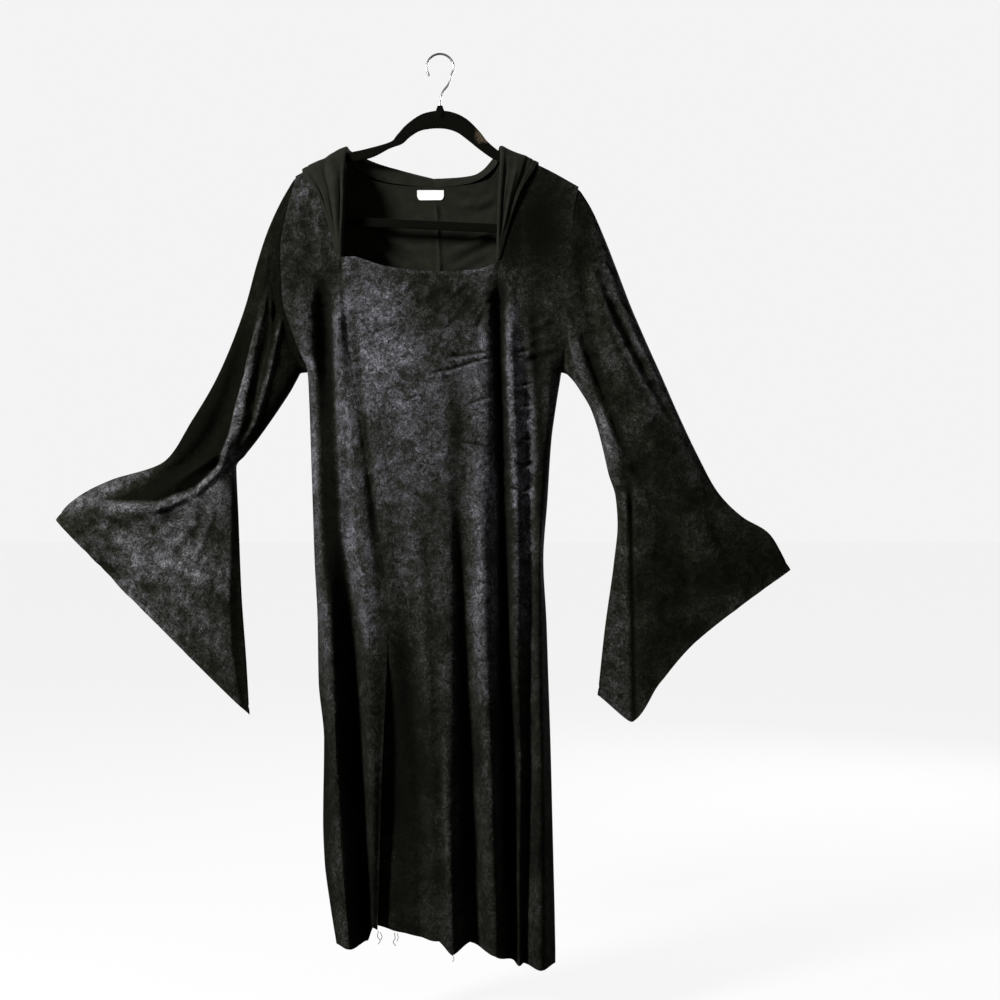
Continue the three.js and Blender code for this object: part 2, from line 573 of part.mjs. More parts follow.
// Shares the vertices of a geometry that lie together.
function weld(g, perMm = 1000) {
  const src = g.index ? g.toNonIndexed() : g;
  const a = src.attributes.position.array;
  const seen = new Map();
  const pos = [];
  const idx = [];
  for (let i = 0; i < a.length; i += 3) {
    const grid = [a[i], a[i + 1], a[i + 2]].map((v) => Math.round(v * perMm));
    const key = grid.join(",");
    if (!seen.has(key)) {
      seen.set(key, pos.length / 3);
      pos.push(...grid.map((v) => v / perMm));
    }
    idx.push(seen.get(key));
  }
  const keep = [];
  for (let i = 0; i < idx.length; i += 3)
    if (idx[i] !== idx[i + 1] && idx[i + 1] !== idx[i + 2] && idx[i] !== idx[i + 2]) keep.push(idx[i], idx[i + 1], idx[i + 2]);
  return solidMesh(pos, keep);
}

function hook() {
  const c = -HOOK_R;
  const r = HOOK_R + WIRE_R;
  const path = [[0, -97], [0, -76], [4, -60], [14, -46]];
  for (let a = -35; a <= 215; a += 25) path.push([r * Math.cos((a * Math.PI) / 180), c + r * Math.sin((a * Math.PI) / 180)]);
  const curve = new THREE.CatmullRomCurve3(path.map(([x, z]) => new THREE.Vector3(x, 0, z)));
  const section = new THREE.Shape();
  section.absarc(0, 0, WIRE_R, 0, Math.PI * 2);
  return weld(new THREE.ExtrudeGeometry(section, { steps: 32, curveSegments: 4, extrudePath: curve }));
}

// ---- label: a blank rectangle sewn under the back neck seam, lower corners rounded ----
function label() {
  const [x0, x1, z0, z1] = [-38, 5, -211, -226.5];
  const grid = [];
  for (let r = 0; r <= 4; r++) {
    const v = r / 4;
    const inset = 5 * Math.max(0, 1 - Math.sqrt(Math.max(0, 1 - Math.max(0, (v - 0.5) / 0.5) ** 2)));
    const row = [];
    for (let c = 0; c <= 8; c++) {
      const x = lerp(x0 + inset, x1 - inset, c / 8);
      const z = lerp(z0, z1, v);
      const lines = x < BACK_CENTRE[1][0] ? BACK_RIGHT : BACK_LEFT;
      row.push({ p: new THREE.Vector3(x, panelY(lines, 1, x, z) - WALL / 2 - 0.9, z), n: new THREE.Vector3(0, -1, 0) });
    }
    grid.push(row);
  }
  return thicken(grid, 0.8);
}

// ---- assembly ----
const velvet = (name) => new THREE.MeshStandardMaterial({ name, color: 0x1c1c1b, roughness: 0.8, metalness: 0 });
const gown = new THREE.Group();
const cloth = new THREE.Group();
const hanger = new THREE.Group();
gown.add(cloth, hanger);

function put(group, name, geometry, material) {
  const mesh = new THREE.Mesh(geometry, material);
  mesh.name = name;
  group.add(mesh);
}

const bodyPanels = {
  front_center: [FRONT_CENTRE, 0, "centre", 3],
  front_side_right: [FRONT_RIGHT, 0, "shoulder", 3],
  front_side_left: [FRONT_LEFT, 0, "shoulder", 3],
  back_right: [BACK_RIGHT, 1, "neck", 3],
  back_left: [BACK_LEFT, 1, "neck", 3],
};
const hangerRoom = hangerFrame(0.5); // the hanger with a little clearance, cut from the cloth at the neck
for (const [name, [lines, face, top, per]] of Object.entries(bodyPanels)) {
  const g = panel(lines, face, top, { per });
  put(cloth, name, face ? fromSolid(toSolid(g).subtract(hangerRoom)) : g, velvet(name));
}

// Trims a sleeve or a half of the hood with the same panels, grown on every side.
function trimmed(geometry, names, grow) {
  const others = names.map((name) => {
    const [lines, face, top, per] = bodyPanels[name];
    return toSolid(panel(lines, face, top, { per, grow }));
  });
  return fromSolid(others.reduce((solid, other) => solid.subtract(other), toSolid(geometry)).subtract(hangerRoom));
}

put(cloth, "sleeve_right", trimmed(thicken(sleeve(SLEEVE_RIGHT, FOLDS_RIGHT, false, false), WALL, true), ["front_side_right", "back_right"], SEAM / 3), velvet("sleeve_right"));
put(cloth, "sleeve_left", trimmed(thicken(sleeve(SLEEVE_LEFT, FOLDS_LEFT, true, true), WALL, true), ["front_side_left", "back_left"], SEAM / 3), velvet("sleeve_left"));
put(cloth, "hood_right", trimmed(thicken(hoodHalf(false), 1.6), ["front_side_right", "back_right", "front_center"], SEAM), velvet("hood_right"));
put(cloth, "hood_left", trimmed(thicken(hoodHalf(true), 1.6), ["front_side_left", "back_left", "front_center"], SEAM), velvet("hood_left"));
put(cloth, "neck_label", label(), new THREE.MeshStandardMaterial({ name: "label", color: 0xf4f4f2, roughness: 0.6 }));
put(hanger, "hanger_frame", hangerFrame(), new THREE.MeshStandardMaterial({ name: "flock", color: 0x0d0d0b, roughness: 0.95 }));
put(hanger, "hanger_hook", hook(), new THREE.MeshStandardMaterial({ name: "steel", color: 0xb9bcc0, roughness: 0.3, metalness: 1 }));

export default gown;
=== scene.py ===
import bpy
import numpy as np
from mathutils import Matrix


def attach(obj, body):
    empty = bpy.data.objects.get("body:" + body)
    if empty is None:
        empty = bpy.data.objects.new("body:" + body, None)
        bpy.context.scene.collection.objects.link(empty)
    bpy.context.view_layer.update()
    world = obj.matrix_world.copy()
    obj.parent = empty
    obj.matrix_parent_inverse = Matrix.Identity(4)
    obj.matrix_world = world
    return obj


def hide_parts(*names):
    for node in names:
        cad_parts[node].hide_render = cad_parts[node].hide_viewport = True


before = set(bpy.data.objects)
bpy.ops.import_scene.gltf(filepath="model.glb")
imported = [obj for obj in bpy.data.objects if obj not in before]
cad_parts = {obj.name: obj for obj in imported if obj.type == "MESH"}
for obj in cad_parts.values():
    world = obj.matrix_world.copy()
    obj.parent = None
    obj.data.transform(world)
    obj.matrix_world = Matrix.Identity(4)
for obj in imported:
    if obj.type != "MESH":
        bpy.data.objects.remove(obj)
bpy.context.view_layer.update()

# ---- Front centre panel ------------------------------------------------------------------
# The gown's middle front, cut from shiny crushed velvet with a plain knitted wrong side.
# Its top is the wide neckline, turned under; both sides are sewn to the side panels, and the
# left seam is left open below the thigh as a slit, so that its edge falls back there.

OUTLINE = [  # z, left x, right x: armhole seams, then side seams
    (-200, -230.4, 224), (-256, -243.2, 212.8), (-312, -251.2, 208), (-392, -248, 203.2),
    (-464, -227.2, 200), (-507.2, -211.2, 193.6), (-568, -208, 184), (-616, -206.4, 177.6),
    (-712, -203.2, 171.2), (-808, -200, 164.8), (-904, -195.2, 169.6), (-1000, -193.6, 172.8),
    (-1096, -184.8, 176), (-1224, -186.4, 179.2), (-1288, -184, 180.8), (-1352, -176, 182.4),
    (-1432, -163.2, 184),
]
SHOULDER = [  # x, z of the shoulder seams along the hanger's arms
    (-230.4, -194.5), (-208, -182.2), (-180, -169.5), (-152, -156), (99, -153.5),
    (128, -164.5), (168, -182), (224, -212.8),
]
FRONT_NECK = [  # x, z of the front neckline
    (-155.2, -328), (-136, -327), (-120, -331.2), (-96, -339.2), (-64, -345.6), (0, -350.4),
    (48, -348.8), (72, -344), (92.8, -335),
]
DEPTH = [  # distance below the shoulder, half-depth in front, half-depth behind
    (4.5, 4.5, 4.5), (12, 7.5, 9), (30, 14, 20), (60, 20, 31), (120, 27, 39), (200, 30, 42),
    (400, 32, 43), (1250, 33, 48),
]
ARMHOLE = [  # fraction of its height, half-width
    (0.015, 4.5), (0.04, 7), (0.1, 14), (0.2, 22), (0.35, 29), (0.55, 32), (0.75, 27),
    (0.88, 17), (0.95, 9), (0.985, 4), (1, 0),
]
NECK, UNDERARM, STRAIGHT, HEM = -331.2, -507.2, -1000, -1420  # levels
NECK_EDGES = (-152, 99.2)  # x of the two ends of the neck on the hanger's arms
ARM = 4.5  # half-depth of the cloth over the hanger's arm
SEAM, INSET = 0.15, 0.12  # from the middle of a seam: at shoulder and side, at the other edges
HEIGHTS = (-176, NECK, -616, -904, -1160, -1416)
# Fold lines down a panel: x at the six heights (None: the outline), how far the cloth stands
# back (+) or forward (-) at five of them, height of the hem
CENTRE_FOLDS = [
    ((-152, -155.2, -121.6, -81.6, -90.4, -100.8), (0, 0, 0, 26, 34), -1394),
    ((-104, -104, -76.8, -56, -40, -32), (0, -2, 6, 14, 12), -1405),
    ((-56, -56, -32, -16, -6.4, 0), (0, -3, -5, -6, -8), -1407),
    ((0, 0, 3.2, 9.6, 16, 20.8), (0, -2, -6, -14, -24), -1425),
    ((32, 32, 35.2, 41.6, 46.4, 48), (0, 4, 12, 22, 30), -1417),
    ((60.8, 60.8, 64, 70.4, 80, 88), (0, -5, -12, -20, -26), -1426),
    ((99.2, 92.8, 94.4, 100.8, 110.4, 116.8), (0, 10, 18, 26, 22), -1446),
]


def smooth(t):
    """Rises from 0 to 1 with level ends: three t squared less two t cubed."""
    t = np.clip(t, 0, 1)
    return t * t * (3 - 2 * t)


def mix(a, b, t):
    """Straight line from a to b: a plus t times their difference."""
    return a + (b - a) * t


def bell(q):
    """Bell curve: 1 in the middle, e to the power of minus q squared away from it."""
    return np.exp(-q * q)


def run(grid, axis):
    """Length along the grid's columns (axis 0) or rows (axis 1): the sum of the steps so far."""
    step = np.linalg.norm(np.diff(grid, axis=axis), axis=-1)
    return np.cumsum(np.concatenate([0 * step.take([0], axis), step], axis), axis)


def along(rows, key, column=1):
    """Smooth value through the rows at each key: cubic pieces whose slope at a row is the
    harmonic mean of the slopes on either side, or level at a peak, so it never overshoots."""
    table = np.array([[row[0], row[column]] for row in rows], float)
    if table[1, 0] < table[0, 0]:
        table = table[::-1]
    x, y = table.T
    width = np.diff(x)
    rise = np.diff(y) / width
    product = rise[:-1] * rise[1:]
    total = rise[:-1] + rise[1:]
    knot = np.where(product > 0, 2 * product / np.where(product > 0, total, 1), 0)
    knot = np.concatenate([rise[:1], knot, rise[-1:]])
    key = np.clip(key, x[0], x[-1])
    i = np.clip(np.searchsorted(x, key, side="right") - 1, 0, len(x) - 2)
    t = (key - x[i]) / width[i]
    t2, t3 = t * t, t * t * t
    return (y[i] * (2 * t3 - 3 * t2 + 1) + knot[i] * width[i] * (t3 - 2 * t2 + t)
            + y[i + 1] * (3 * t2 - 2 * t3) + knot[i + 1] * width[i] * (t3 - t2))


def line_x(line, z, first):
    """x of a fold line at height z: its own six values, or the gown's outline."""
    if line[0] is None:
        return along(OUTLINE, z, 1 if first else 2)
    return along(list(zip(HEIGHTS, line[0])), z)


def half_depth(x, z, back):
    """Half the gown's depth at x, z: a quarter circle over the hanger's arm, then from the
    armhole's width at the sides to the full depth inside, along one less |2u-1| cubed."""
    h = np.maximum(0, along(SHOULDER, x) - z)
    left, right = along(OUTLINE, z, 1), along(OUTLINE, z, 2)
    u = np.clip((x - left) / (right - left), 0, 1)
    tau = h / (along(SHOULDER, x) - UNDERARM)
    power = mix(1, 0.5, smooth((tau - 0.75) / 0.25))
    share = np.maximum(0, 1 - np.abs(2 * u - 1) ** 3) ** power
    body = mix(along(ARMHOLE, tau), along(DEPTH, h, 2 if back else 1), share)
    arm = ARM * np.sqrt(np.maximum(0, 1 - (1 - np.minimum(h, ARM) / ARM) ** 2))
    return np.where(h < ARM, arm, body)


def panel_y(lines, back, x, z):
    """y of a body panel: the gown's half-depth plus its folds, which grow below the neck."""
    xs = [line_x(line, z, i == 0) for i, line in enumerate(lines)]
    outs = [along([(NECK, 0), *zip(HEIGHTS[2:], line[1][1:])], z) for line in lines]
    fold = None
    for a, b, out_a, out_b in zip(xs, xs[1:], outs, outs[1:]):
        part = mix(out_a, out_b, smooth((x - a) / np.maximum(b - a, 1e-6)))
        fold = part if fold is None else np.where(x > a, part, fold)
    return (1 if back else -1) * half_depth(x, z, back) + fold * smooth((NECK - z) / 150)


def beside(x, z, path):
    """Signed distance of each point from a path (+ to its right, seen along it), and how far
    along it the nearest place lies, 0 to 1."""
    path = np.array(path, float)
    step = np.diff(path, axis=0)
    length = np.hypot(*step.T)
    start = np.concatenate([[0], np.cumsum(length)])
    near = np.full(np.shape(x), 1e9)
    signed, reach = np.zeros(np.shape(x)), np.zeros(np.shape(x))
    for (ax, az), (dx, dz), size, so_far in zip(path, step, length, start):
        t = np.clip(((x - ax) * dx + (z - az) * dz) / size**2, 0, 1)
        px, pz = x - ax - t * dx, z - az - t * dz
        gap = np.hypot(px, pz)
        closer = gap < near
        near = np.where(closer, gap, near)
        signed = np.where(closer, np.sign(px * dz - pz * dx) * gap, signed)
        reach = np.where(closer, so_far + t * size, reach)
    return signed, reach / start[-1]


def crease(x, z, out, width, path, tail=0.3, lip=0.45):
    """Soft trough or ridge along a path: out times a bell curve of the signed distance from
    it, less a smaller one beside it, fading to nothing at both ends."""
    signed, share = beside(x, z, path)
    q = signed / width
    return out * (bell(q) - lip * bell(q - 1.7)) * smooth(share / tail) * smooth((1 - share) / tail)


def crush(x, z, seed, count, box, size=(9, 26), out=(0.25, 0.8), lean=0.0, spread=1.2):
    """Short random wrinkles: each an elongated bell, at a seeded place, length and slant."""
    rng = np.random.default_rng(seed)
    total = np.zeros(np.shape(x))
    for _ in range(count):
        cx, cz = rng.uniform(box[0], box[1]), rng.uniform(box[2], box[3])
        turn = lean + rng.normal(0, spread)
        long = rng.uniform(*size)
        wide = long * rng.uniform(0.22, 0.42)
        height = rng.uniform(*out) * (1 if rng.random() < 0.5 else -1)
        a = (x - cx) * np.cos(turn) + (z - cz) * np.sin(turn)
        b = (z - cz) * np.cos(turn) - (x - cx) * np.sin(turn)
        b = b + 0.012 * a * a * rng.uniform(-1, 1)
        total += height * np.exp(-np.minimum((a / long) ** 2 + (b / wide) ** 2, 30))
    return total


FRONT_CREASES = [  # out (+ forward), half-width, path of x, z, fade at its ends, lip
    (-12.0, 11.0, [(92, -340), (94, -485), (99, -616), (103, -700), (103, -818), (105, -1000),
         (110, -1240), (115, -1460)], 0.06, 0.35),
    (-8.0, 9.0, [(146, -360), (150, -420), (158, -530), (164, -640), (160, -800),
         (154, -960)], 0.22, 0.3),
    (-14.0, 14.0, [(-188, -346), (-186, -392), (-184, -504), (-180, -632), (-173, -771),
         (-156, -920), (-138, -1150), (-124, -1355), (-119, -1460)], 0.06, 0.35),
    (8.0, 9.0, [(-160, -360), (-160, -392), (-157, -552), (-148, -760), (-124, -880),
         (-104, -960)], 0.15, 0.2),
    (-3.5, 7.0, [(-136, -400), (-126, -520), (-108, -680), (-88, -860)], 0.25, 0.2),
    (-6.5, 7.5, [(20, -640), (30, -733), (34, -900), (38, -1100), (42, -1300),
         (46, -1430)], 0.3, 0.35),
    (4.0, 13.0, [(58, -560), (66, -760), (72, -1000), (80, -1240), (88, -1440)], 0.3, 0.2),
    (4.0, 5.5, [(8, -1060), (14, -1200), (20, -1430)], 0.3, 0.3),
    (4.5, 8.0, [(110, -350), (114, -485), (124, -640), (128, -800), (128, -960)], 0.15, 0.2),
    (3.5, 6.0, [(130, -1040), (128, -1200), (122, -1400)], 0.3, 0.4),
    (-5.2, 3.3, [(-26, -513), (18, -505), (55, -493), (90, -486)], 0.25, 0.8),
    (-4.6, 3.2, [(12, -486), (50, -481), (86, -477)], 0.25, 0.8),
    (-4.4, 3.2, [(38, -563), (66, -553), (90, -549)], 0.25, 0.8),
    (-4.4, 3.2, [(33, -619), (62, -624), (92, -634)], 0.25, 0.8),
    (-3.0, 3.0, [(-106, -450), (-84, -440), (-62, -432)], 0.25, 0.8),
    (-1.3, 3.4, [(74, -368), (44, -398), (12, -440), (-10, -478)], 0.25, 0.8),
    (-1.2, 3.2, [(52, -364), (22, -392), (-14, -424), (-40, -440)], 0.25, 0.8),
    (-1.2, 3.0, [(86, -372), (70, -420), (48, -462)], 0.25, 0.8),
    (-2.0, 4.0, [(-120, -352), (-96, -376), (-70, -388)]),
    (-1.8, 4.0, [(-30, -362), (-52, -384), (-86, -398)]),
    (-2.4, 4.5, [(-250, -416), (-212, -424), (-176, -424)]),
    (-2.4, 5.0, [(-240, -300), (-206, -306), (-172, -330), (-152, -352)]),
    (-2.0, 4.5, [(-226, -262), (-196, -290), (-176, -330)]),
    (-2.0, 4.5, [(-244, -350), (-206, -356), (-166, -372)]),
    (2.0, 6.0, [(-198, -230), (-194, -280), (-186, -340)]),
    (-1.8, 5.0, [(-222, -226), (-216, -266), (-210, -300)]),
    (-3.0, 6.0, [(-230, -470), (-206, -480), (-180, -500)]),
    (-3.0, 5.5, [(196, -420), (170, -436), (138, -450)]),
    (-3.0, 5.5, [(196, -478), (168, -480), (128, -496)]),
    (-2.6, 6.0, [(122, -352), (132, -420), (140, -520), (146, -640)]),
    (2.2, 7.0, [(106, -352), (112, -460), (116, -600), (120, -720)]),
    (-4.4, 3.0, [(100, -528), (122, -532), (150, -524)], 0.25, 0.8),
    (-4.4, 3.0, [(104, -556), (126, -564), (152, -558)], 0.25, 0.8),
    (-4.4, 3.0, [(108, -606), (128, -616), (150, -612)], 0.25, 0.8),
    (-4.4, 3.0, [(112, -648), (134, -658), (154, -650)], 0.25, 0.8),
    (-4.0, 3.0, [(112, -690), (132, -698), (152, -688)], 0.25, 0.8),
    (-4.0, 3.0, [(104, -470), (124, -478), (146, -472)], 0.25, 0.8),
    (-2.0, 2.4, [(-56, -558), (-36, -546), (-14, -548)], 0.25, 0.8),
    (-2.0, 2.4, [(-120, -424), (-112, -442), (-92, -462)], 0.25, 0.8),
    (-1.8, 5.0, [(-196, -560), (-172, -572), (-150, -568)]),
    (-1.6, 5.0, [(-196, -700), (-176, -706), (-150, -722)]),
    (-2.0, 6.0, [(-118, -640), (-104, -760), (-90, -880)]),
    (-1.8, 9.0, [(-40, -620), (-20, -800), (-8, -1000), (6, -1200)]),
    (1.6, 8.0, [(-70, -930), (-58, -1080), (-40, -1250)]),
    (-1.6, 7.0, [(112, -1000), (118, -1120), (128, -1260), (132, -1400)]),
    (-1.4, 5.0, [(-90, -908), (-72, -940), (-46, -960)]),
    (-1.4, 5.0, [(-110, -1010), (-124, -1030), (-150, -1036)]),
    (1.2, 7.0, [(-176, -820), (-170, -1000), (-164, -1200)]),
]


def inside(x, z):
    """0 at the gown's outline and 1 from 22 mm inside it."""
    return smooth((x - along(OUTLINE, z, 1)) / 22) * smooth((along(OUTLINE, z, 2) - x) / 22)


def hem_relief(to_hem, stitches, fold):
    """A hem: a row of stitches pressed in 13 mm from the edge, and the doubled cloth below."""
    return fold * smooth((11 - to_hem) / 6) - stitches * bell((to_hem - 13) / 2.2)


def front_relief(x, z):
    """Creases, crinkles and seam grooves of the whole front, fading out towards its sides."""
    relief = sum(crease(x, z, *one) for one in FRONT_CREASES)
    relief += crush(x, z, 11, 380, (-240, 200, -1440, -350))
    relief += crush(x, z, 12, 150, (98, 165, -800, -340), (7, 15), (0.8, 2.2), 0.0, 0.4)
    relief += crush(x, z, 16, 190, (-150, 100, -700, -350), (7, 18), (0.5, 1.4), 0.4, 0.8)
    relief += crush(x, z, 17, 160, (-170, 170, -1300, -660), (8, 20), (0.4, 1.2), 0.0, 0.9)
    relief += crush(x, z, 13, 130, (-250, -120, -430, -210), (7, 18), (0.7, 2.0), 0.6, 0.9)
    relief += crush(x, z, 14, 150, (-70, 92, -480, -352), (7, 18), (0.5, 1.4), 0.8, 0.35)
    relief += crush(x, z, 15, 60, (-210, 180, -1420, -900), (30, 80), (0.6, 1.6), 1.5, 0.25)
    for line in (CENTRE_FOLDS[0], CENTRE_FOLDS[6]):  # the two long seams pull the cloth in
        gap = x - line_x(line, z, False)
        sewn = smooth((z + 930) / 60) if line is CENTRE_FOLDS[0] else 1
        pucker = 1 + 0.5 * np.sin(z / 5.3) * np.sin(z / 17.0)
        relief -= 1.5 * sewn * pucker * bell(gap / 3.2)
    return relief * inside(x, z)


def panel(lines, back, top, relief, across, down):
    """Mid-surface of a body panel as rows of points. Columns run between its fold lines, rows
    from its top edge (shoulder, back neck or neckline) down to level rows, then on to the
    sloping hem. Across and down are the steps aimed at."""
    columns = []  # fold line to the left, share of the way to the next
    middle = [line_x(line, np.array([-700.0]), i == 0)[0] for i, line in enumerate(lines)]
    for i, (left, right) in enumerate(zip(middle, middle[1:])):
        t = np.linspace(0, 1, max(4, round(max(right - left, 20) / across * 1.25)), endpoint=False)
        if lines[i][0] is None:  # closer steps towards the gown's outline
            t = t * t
        elif lines[i + 1][0] is None:
            t = 1 - (1 - t) ** 2
        columns += [(i, v) for v in t]
    columns.append((len(lines) - 2, 1.0))
    index, t = (np.array(v) for v in zip(*columns))

    def x_at(z):
        """x of every column at heights z: between its two fold lines."""
        xs = np.stack([line_x(line, z, i == 0) for i, line in enumerate(lines)])
        pick = np.broadcast_to(index, z.shape)[None]
        return mix(np.take_along_axis(xs, pick, 0)[0], np.take_along_axis(xs, pick + 1, 0)[0], t)

    # first and last column: is it at the gown's side, its line, the way inwards
    ends = [(c, line[0] is None, line, way) for c, line, way in ((0, lines[0], 1), (-1, lines[-1], -1))]

    def to_sides(x, z):
        """Puts the column at the gown's side on its outline."""
        for c, at_side, line, _ in ends:
            if at_side:
                x[:, c] = line_x(line, z[:, c], c == 0)

    hem = mix(np.array([lines[i][2] for i in index]), np.array([lines[i + 1][2] for i in index]), t)
    if top == "neckline":
        fall = np.concatenate([[0, 0.03, 0.07], np.linspace(0.12, 1, 10)])[:, None]
        neck = np.full((len(fall), len(t)), -340.0)
        for _ in range(5):
            neck = along(FRONT_NECK, x_at(neck))
        first = mix(neck, -380.0, fall)
        levels = np.linspace(-380, HEM, round(1040 / down))[1:]
    else:
        fall = [np.linspace(0, ARM, 8), [5.6, 7, 9, 11.5], np.linspace(14.5, 100, 24)]
        fall = np.concatenate(fall)[:, None]
        x = x_at(np.full((len(fall), len(t)), -176.0))
        for _ in range(6):
            edge = along(SHOULDER, x)
            if top == "back neck":
                edge = np.where((x > NECK_EDGES[0]) & (x < NECK_EDGES[1]), along(BACK_NECK, x), edge)
            first = edge - fall - (edge - NECK - 100) * (fall / 100) ** 2 * (fall > ARM)
            x = x_at(np.minimum(first, -176))
            to_sides(x, first)
        levels = np.linspace(NECK, HEM, round(1089 / down))[1:]
    below = levels[:, None] + 0 * t
    sloping = STRAIGHT + (below - STRAIGHT) * (hem - STRAIGHT) / (HEM - STRAIGHT)
    z = np.concatenate([first, np.where(below < STRAIGHT, sloping, below)])
    x = x_at(np.minimum(z, -176))
    to_sides(x, z)
    sign = 1 if back else -1
    y = panel_y(lines, back, x, z)
    if top != "neckline":
        on_arm = (x[0] <= NECK_EDGES[0] + 0.1) | (x[0] >= NECK_EDGES[1] - 0.1) | (not back)
        y[0] = np.where(on_arm, sign * SEAM, y[0])
    for c, at_side, _, way in ends:
        if at_side:
            y[:, c] = np.where(z[:, c] <= UNDERARM + 0.01, sign * SEAM, y[:, c])
        else:
            x[:, c] += way * INSET
    grid = np.stack([x, y, z], -1)
    length = run(grid, 0)
    to_hem = length[-1] - length
    lift = relief(x, z)
    if top != "neckline":
        lift = lift * smooth((along(SHOULDER, x) - z - 5) / 25)
    lift = lift + hem_relief(to_hem, 0.9, 0.5)
    if top == "neckline":  # turned under, held by a row of stitches
        lift = lift + 1.1 * smooth((7 - length) / 4) - 0.9 * bell((length - 9) / 1.8)
    grid[..., 1] += lift * sign  # straight out, so that two panels' edges stay together at a seam
    grid[..., 2] += (0.8 * np.sin(x / 9.3) + 0.3 * np.sin(x / 4.7 + 1)) * smooth((14 - to_hem) / 14)
    return grid, lift


def normals(grid, wrap=False):
    """Unit normal of each point: across step crossed with down step, from its neighbours."""
    across = np.roll(grid, -1, 1) - np.roll(grid, 1, 1) if wrap else np.gradient(grid, axis=1)
    n = np.cross(across, np.gradient(grid, axis=0))
    return n / np.maximum(np.linalg.norm(n, axis=-1, keepdims=True), 1e-9)


def in_scene(name, data):
    """New object in the scene, at the origin."""
    item = bpy.data.objects.new(name, data)
    bpy.context.scene.collection.objects.link(item)
    return item


def cloth(name, grid, pile_and_painted_light, plus, minus, wall=1.5, wrap=False, edge_normals=None):
    """Closed thin shell round a grid of points: half the wall out along the normals for one
    side of the cloth, half the wall in for the other, and a rim that joins them. The normals
    lie on the plus side; plus and minus are the two sides' materials. UVs are the cloth's own
    lengths across and down, in metres. The per-point values after the grid are painted light
    and shade for the velvet, kept in a point attribute: how bright its pile is painted."""
    rows, cols = grid.shape[:2]
    half = rows * cols
    n = normals(grid, wrap)
    if edge_normals:
        edge_normals(grid, n)
    points = np.concatenate([grid + n * wall / 2, grid - n * wall / 2]).reshape(-1, 3) / 1000
    at = np.arange(half).reshape(rows, cols)
    if wrap:
        at = np.concatenate([at, at[:, :1]], 1)
    front = np.stack([v.ravel() for v in (at[:-1, :-1], at[:-1, 1:], at[1:, 1:], at[1:, :-1])], 1)
    edges = [(at[0, 1:], at[0, :-1]), (at[-1, :-1], at[-1, 1:])]
    if not wrap:
        edges += [(at[:-1, 0], at[1:, 0]), (at[1:, -1], at[:-1, -1])]
    rim = np.concatenate([np.stack([a, b, b + half, a + half], 1) for a, b in edges])
    faces = np.concatenate([front, front[:, ::-1] + half, rim])
    mesh = bpy.data.meshes.new(name)
    mesh.vertices.add(len(points))
    mesh.vertices.foreach_set("co", points.ravel())
    mesh.loops.add(faces.size)
    mesh.loops.foreach_set("vertex_index", faces.ravel())
    mesh.polygons.add(len(faces))
    mesh.polygons.foreach_set("loop_start", np.arange(0, faces.size, 4))
    side = np.repeat([0, 1, 0], [len(front), len(front), len(rim)])
    mesh.polygons.foreach_set("material_index", side)
    mesh.materials.append(plus)
    mesh.materials.append(minus)
    u = run(grid, 1)
    u = u - u[:, cols // 2:cols // 2 + 1]
    uv = np.stack([u, run(grid, 0)], -1).reshape(-1, 2) / 1000
    layer = mesh.uv_layers.new(name="cloth")
    layer.data.foreach_set("uv", np.concatenate([uv, uv])[faces.ravel()].ravel())
    pile_and_painted_light_attr = mesh.attributes.new("pile_and_painted_light", "FLOAT", "POINT")
    pile_and_painted_light_attr.data.foreach_set("value", np.tile(np.clip(pile_and_painted_light, 0, 1).ravel(), 2))
    mesh.update(calc_edges=True)
    mesh.validate()
    mesh.polygons.foreach_set("use_smooth", np.ones(len(mesh.polygons), bool))
    mesh.set_sharp_from_angle(angle=np.radians(60))
    return in_scene(name, mesh)


def feed(tree, node, inputs):
    """Gives a node's inputs, by name or number, a plain value or another node's output."""
    for key, value in inputs.items():
        if isinstance(value, bpy.types.NodeSocket):
            tree.links.new(value, node.inputs[key])
        else:
            node.inputs[key].default_value = value


def add(tree, kind, inputs, output=0, **settings):
    """New shader node with its settings and inputs; hands back the output that is asked for."""
    node = tree.nodes.new("ShaderNode" + kind)
    for key, value in settings.items():
        setattr(node, key, value)
    feed(tree, node, inputs)
    return node.outputs[output]


def times(tree, a, b):
    """Product of two values: a times b."""
    return add(tree, "Math", {0: a, 1: b}, operation="MULTIPLY")


def plus_part(tree, value, weight, rest):
    """Weighted sum: a value times its weight, plus the rest."""
    return add(tree, "Math", {0: value, 1: weight, 2: rest}, operation="MULTIPLY_ADD")


def ramp(tree, key, *stops):
    """Colour ramp read at key. Its stops are pairs of place, 0 to 1, and colour."""
    node = tree.nodes.new("ShaderNodeValToRGB")
    feed(tree, node, {"Fac": key})
    ends = node.color_ramp.elements
    for end, (place, colour) in zip(ends, (stops[0], stops[-1])):
        end.position, end.color = place, (*colour, 1)
    for place, colour in stops[1:-1]:
        ends.new(place).color = (*colour, 1)
    return node.outputs["Color"]


def bump(tree, height, strength, distance):
    """Surface normal tilted by a height from 0 to 1, which stands for distance in metres."""
    return add(tree, "Bump", {"Height": height, "Strength": strength, "Distance": distance})


def blank(name):
    """New material: itself, its node tree and its shader."""
    material = bpy.data.materials.new(name)
    material.use_nodes = True
    return material, material.node_tree, material.node_tree.nodes["Principled BSDF"]


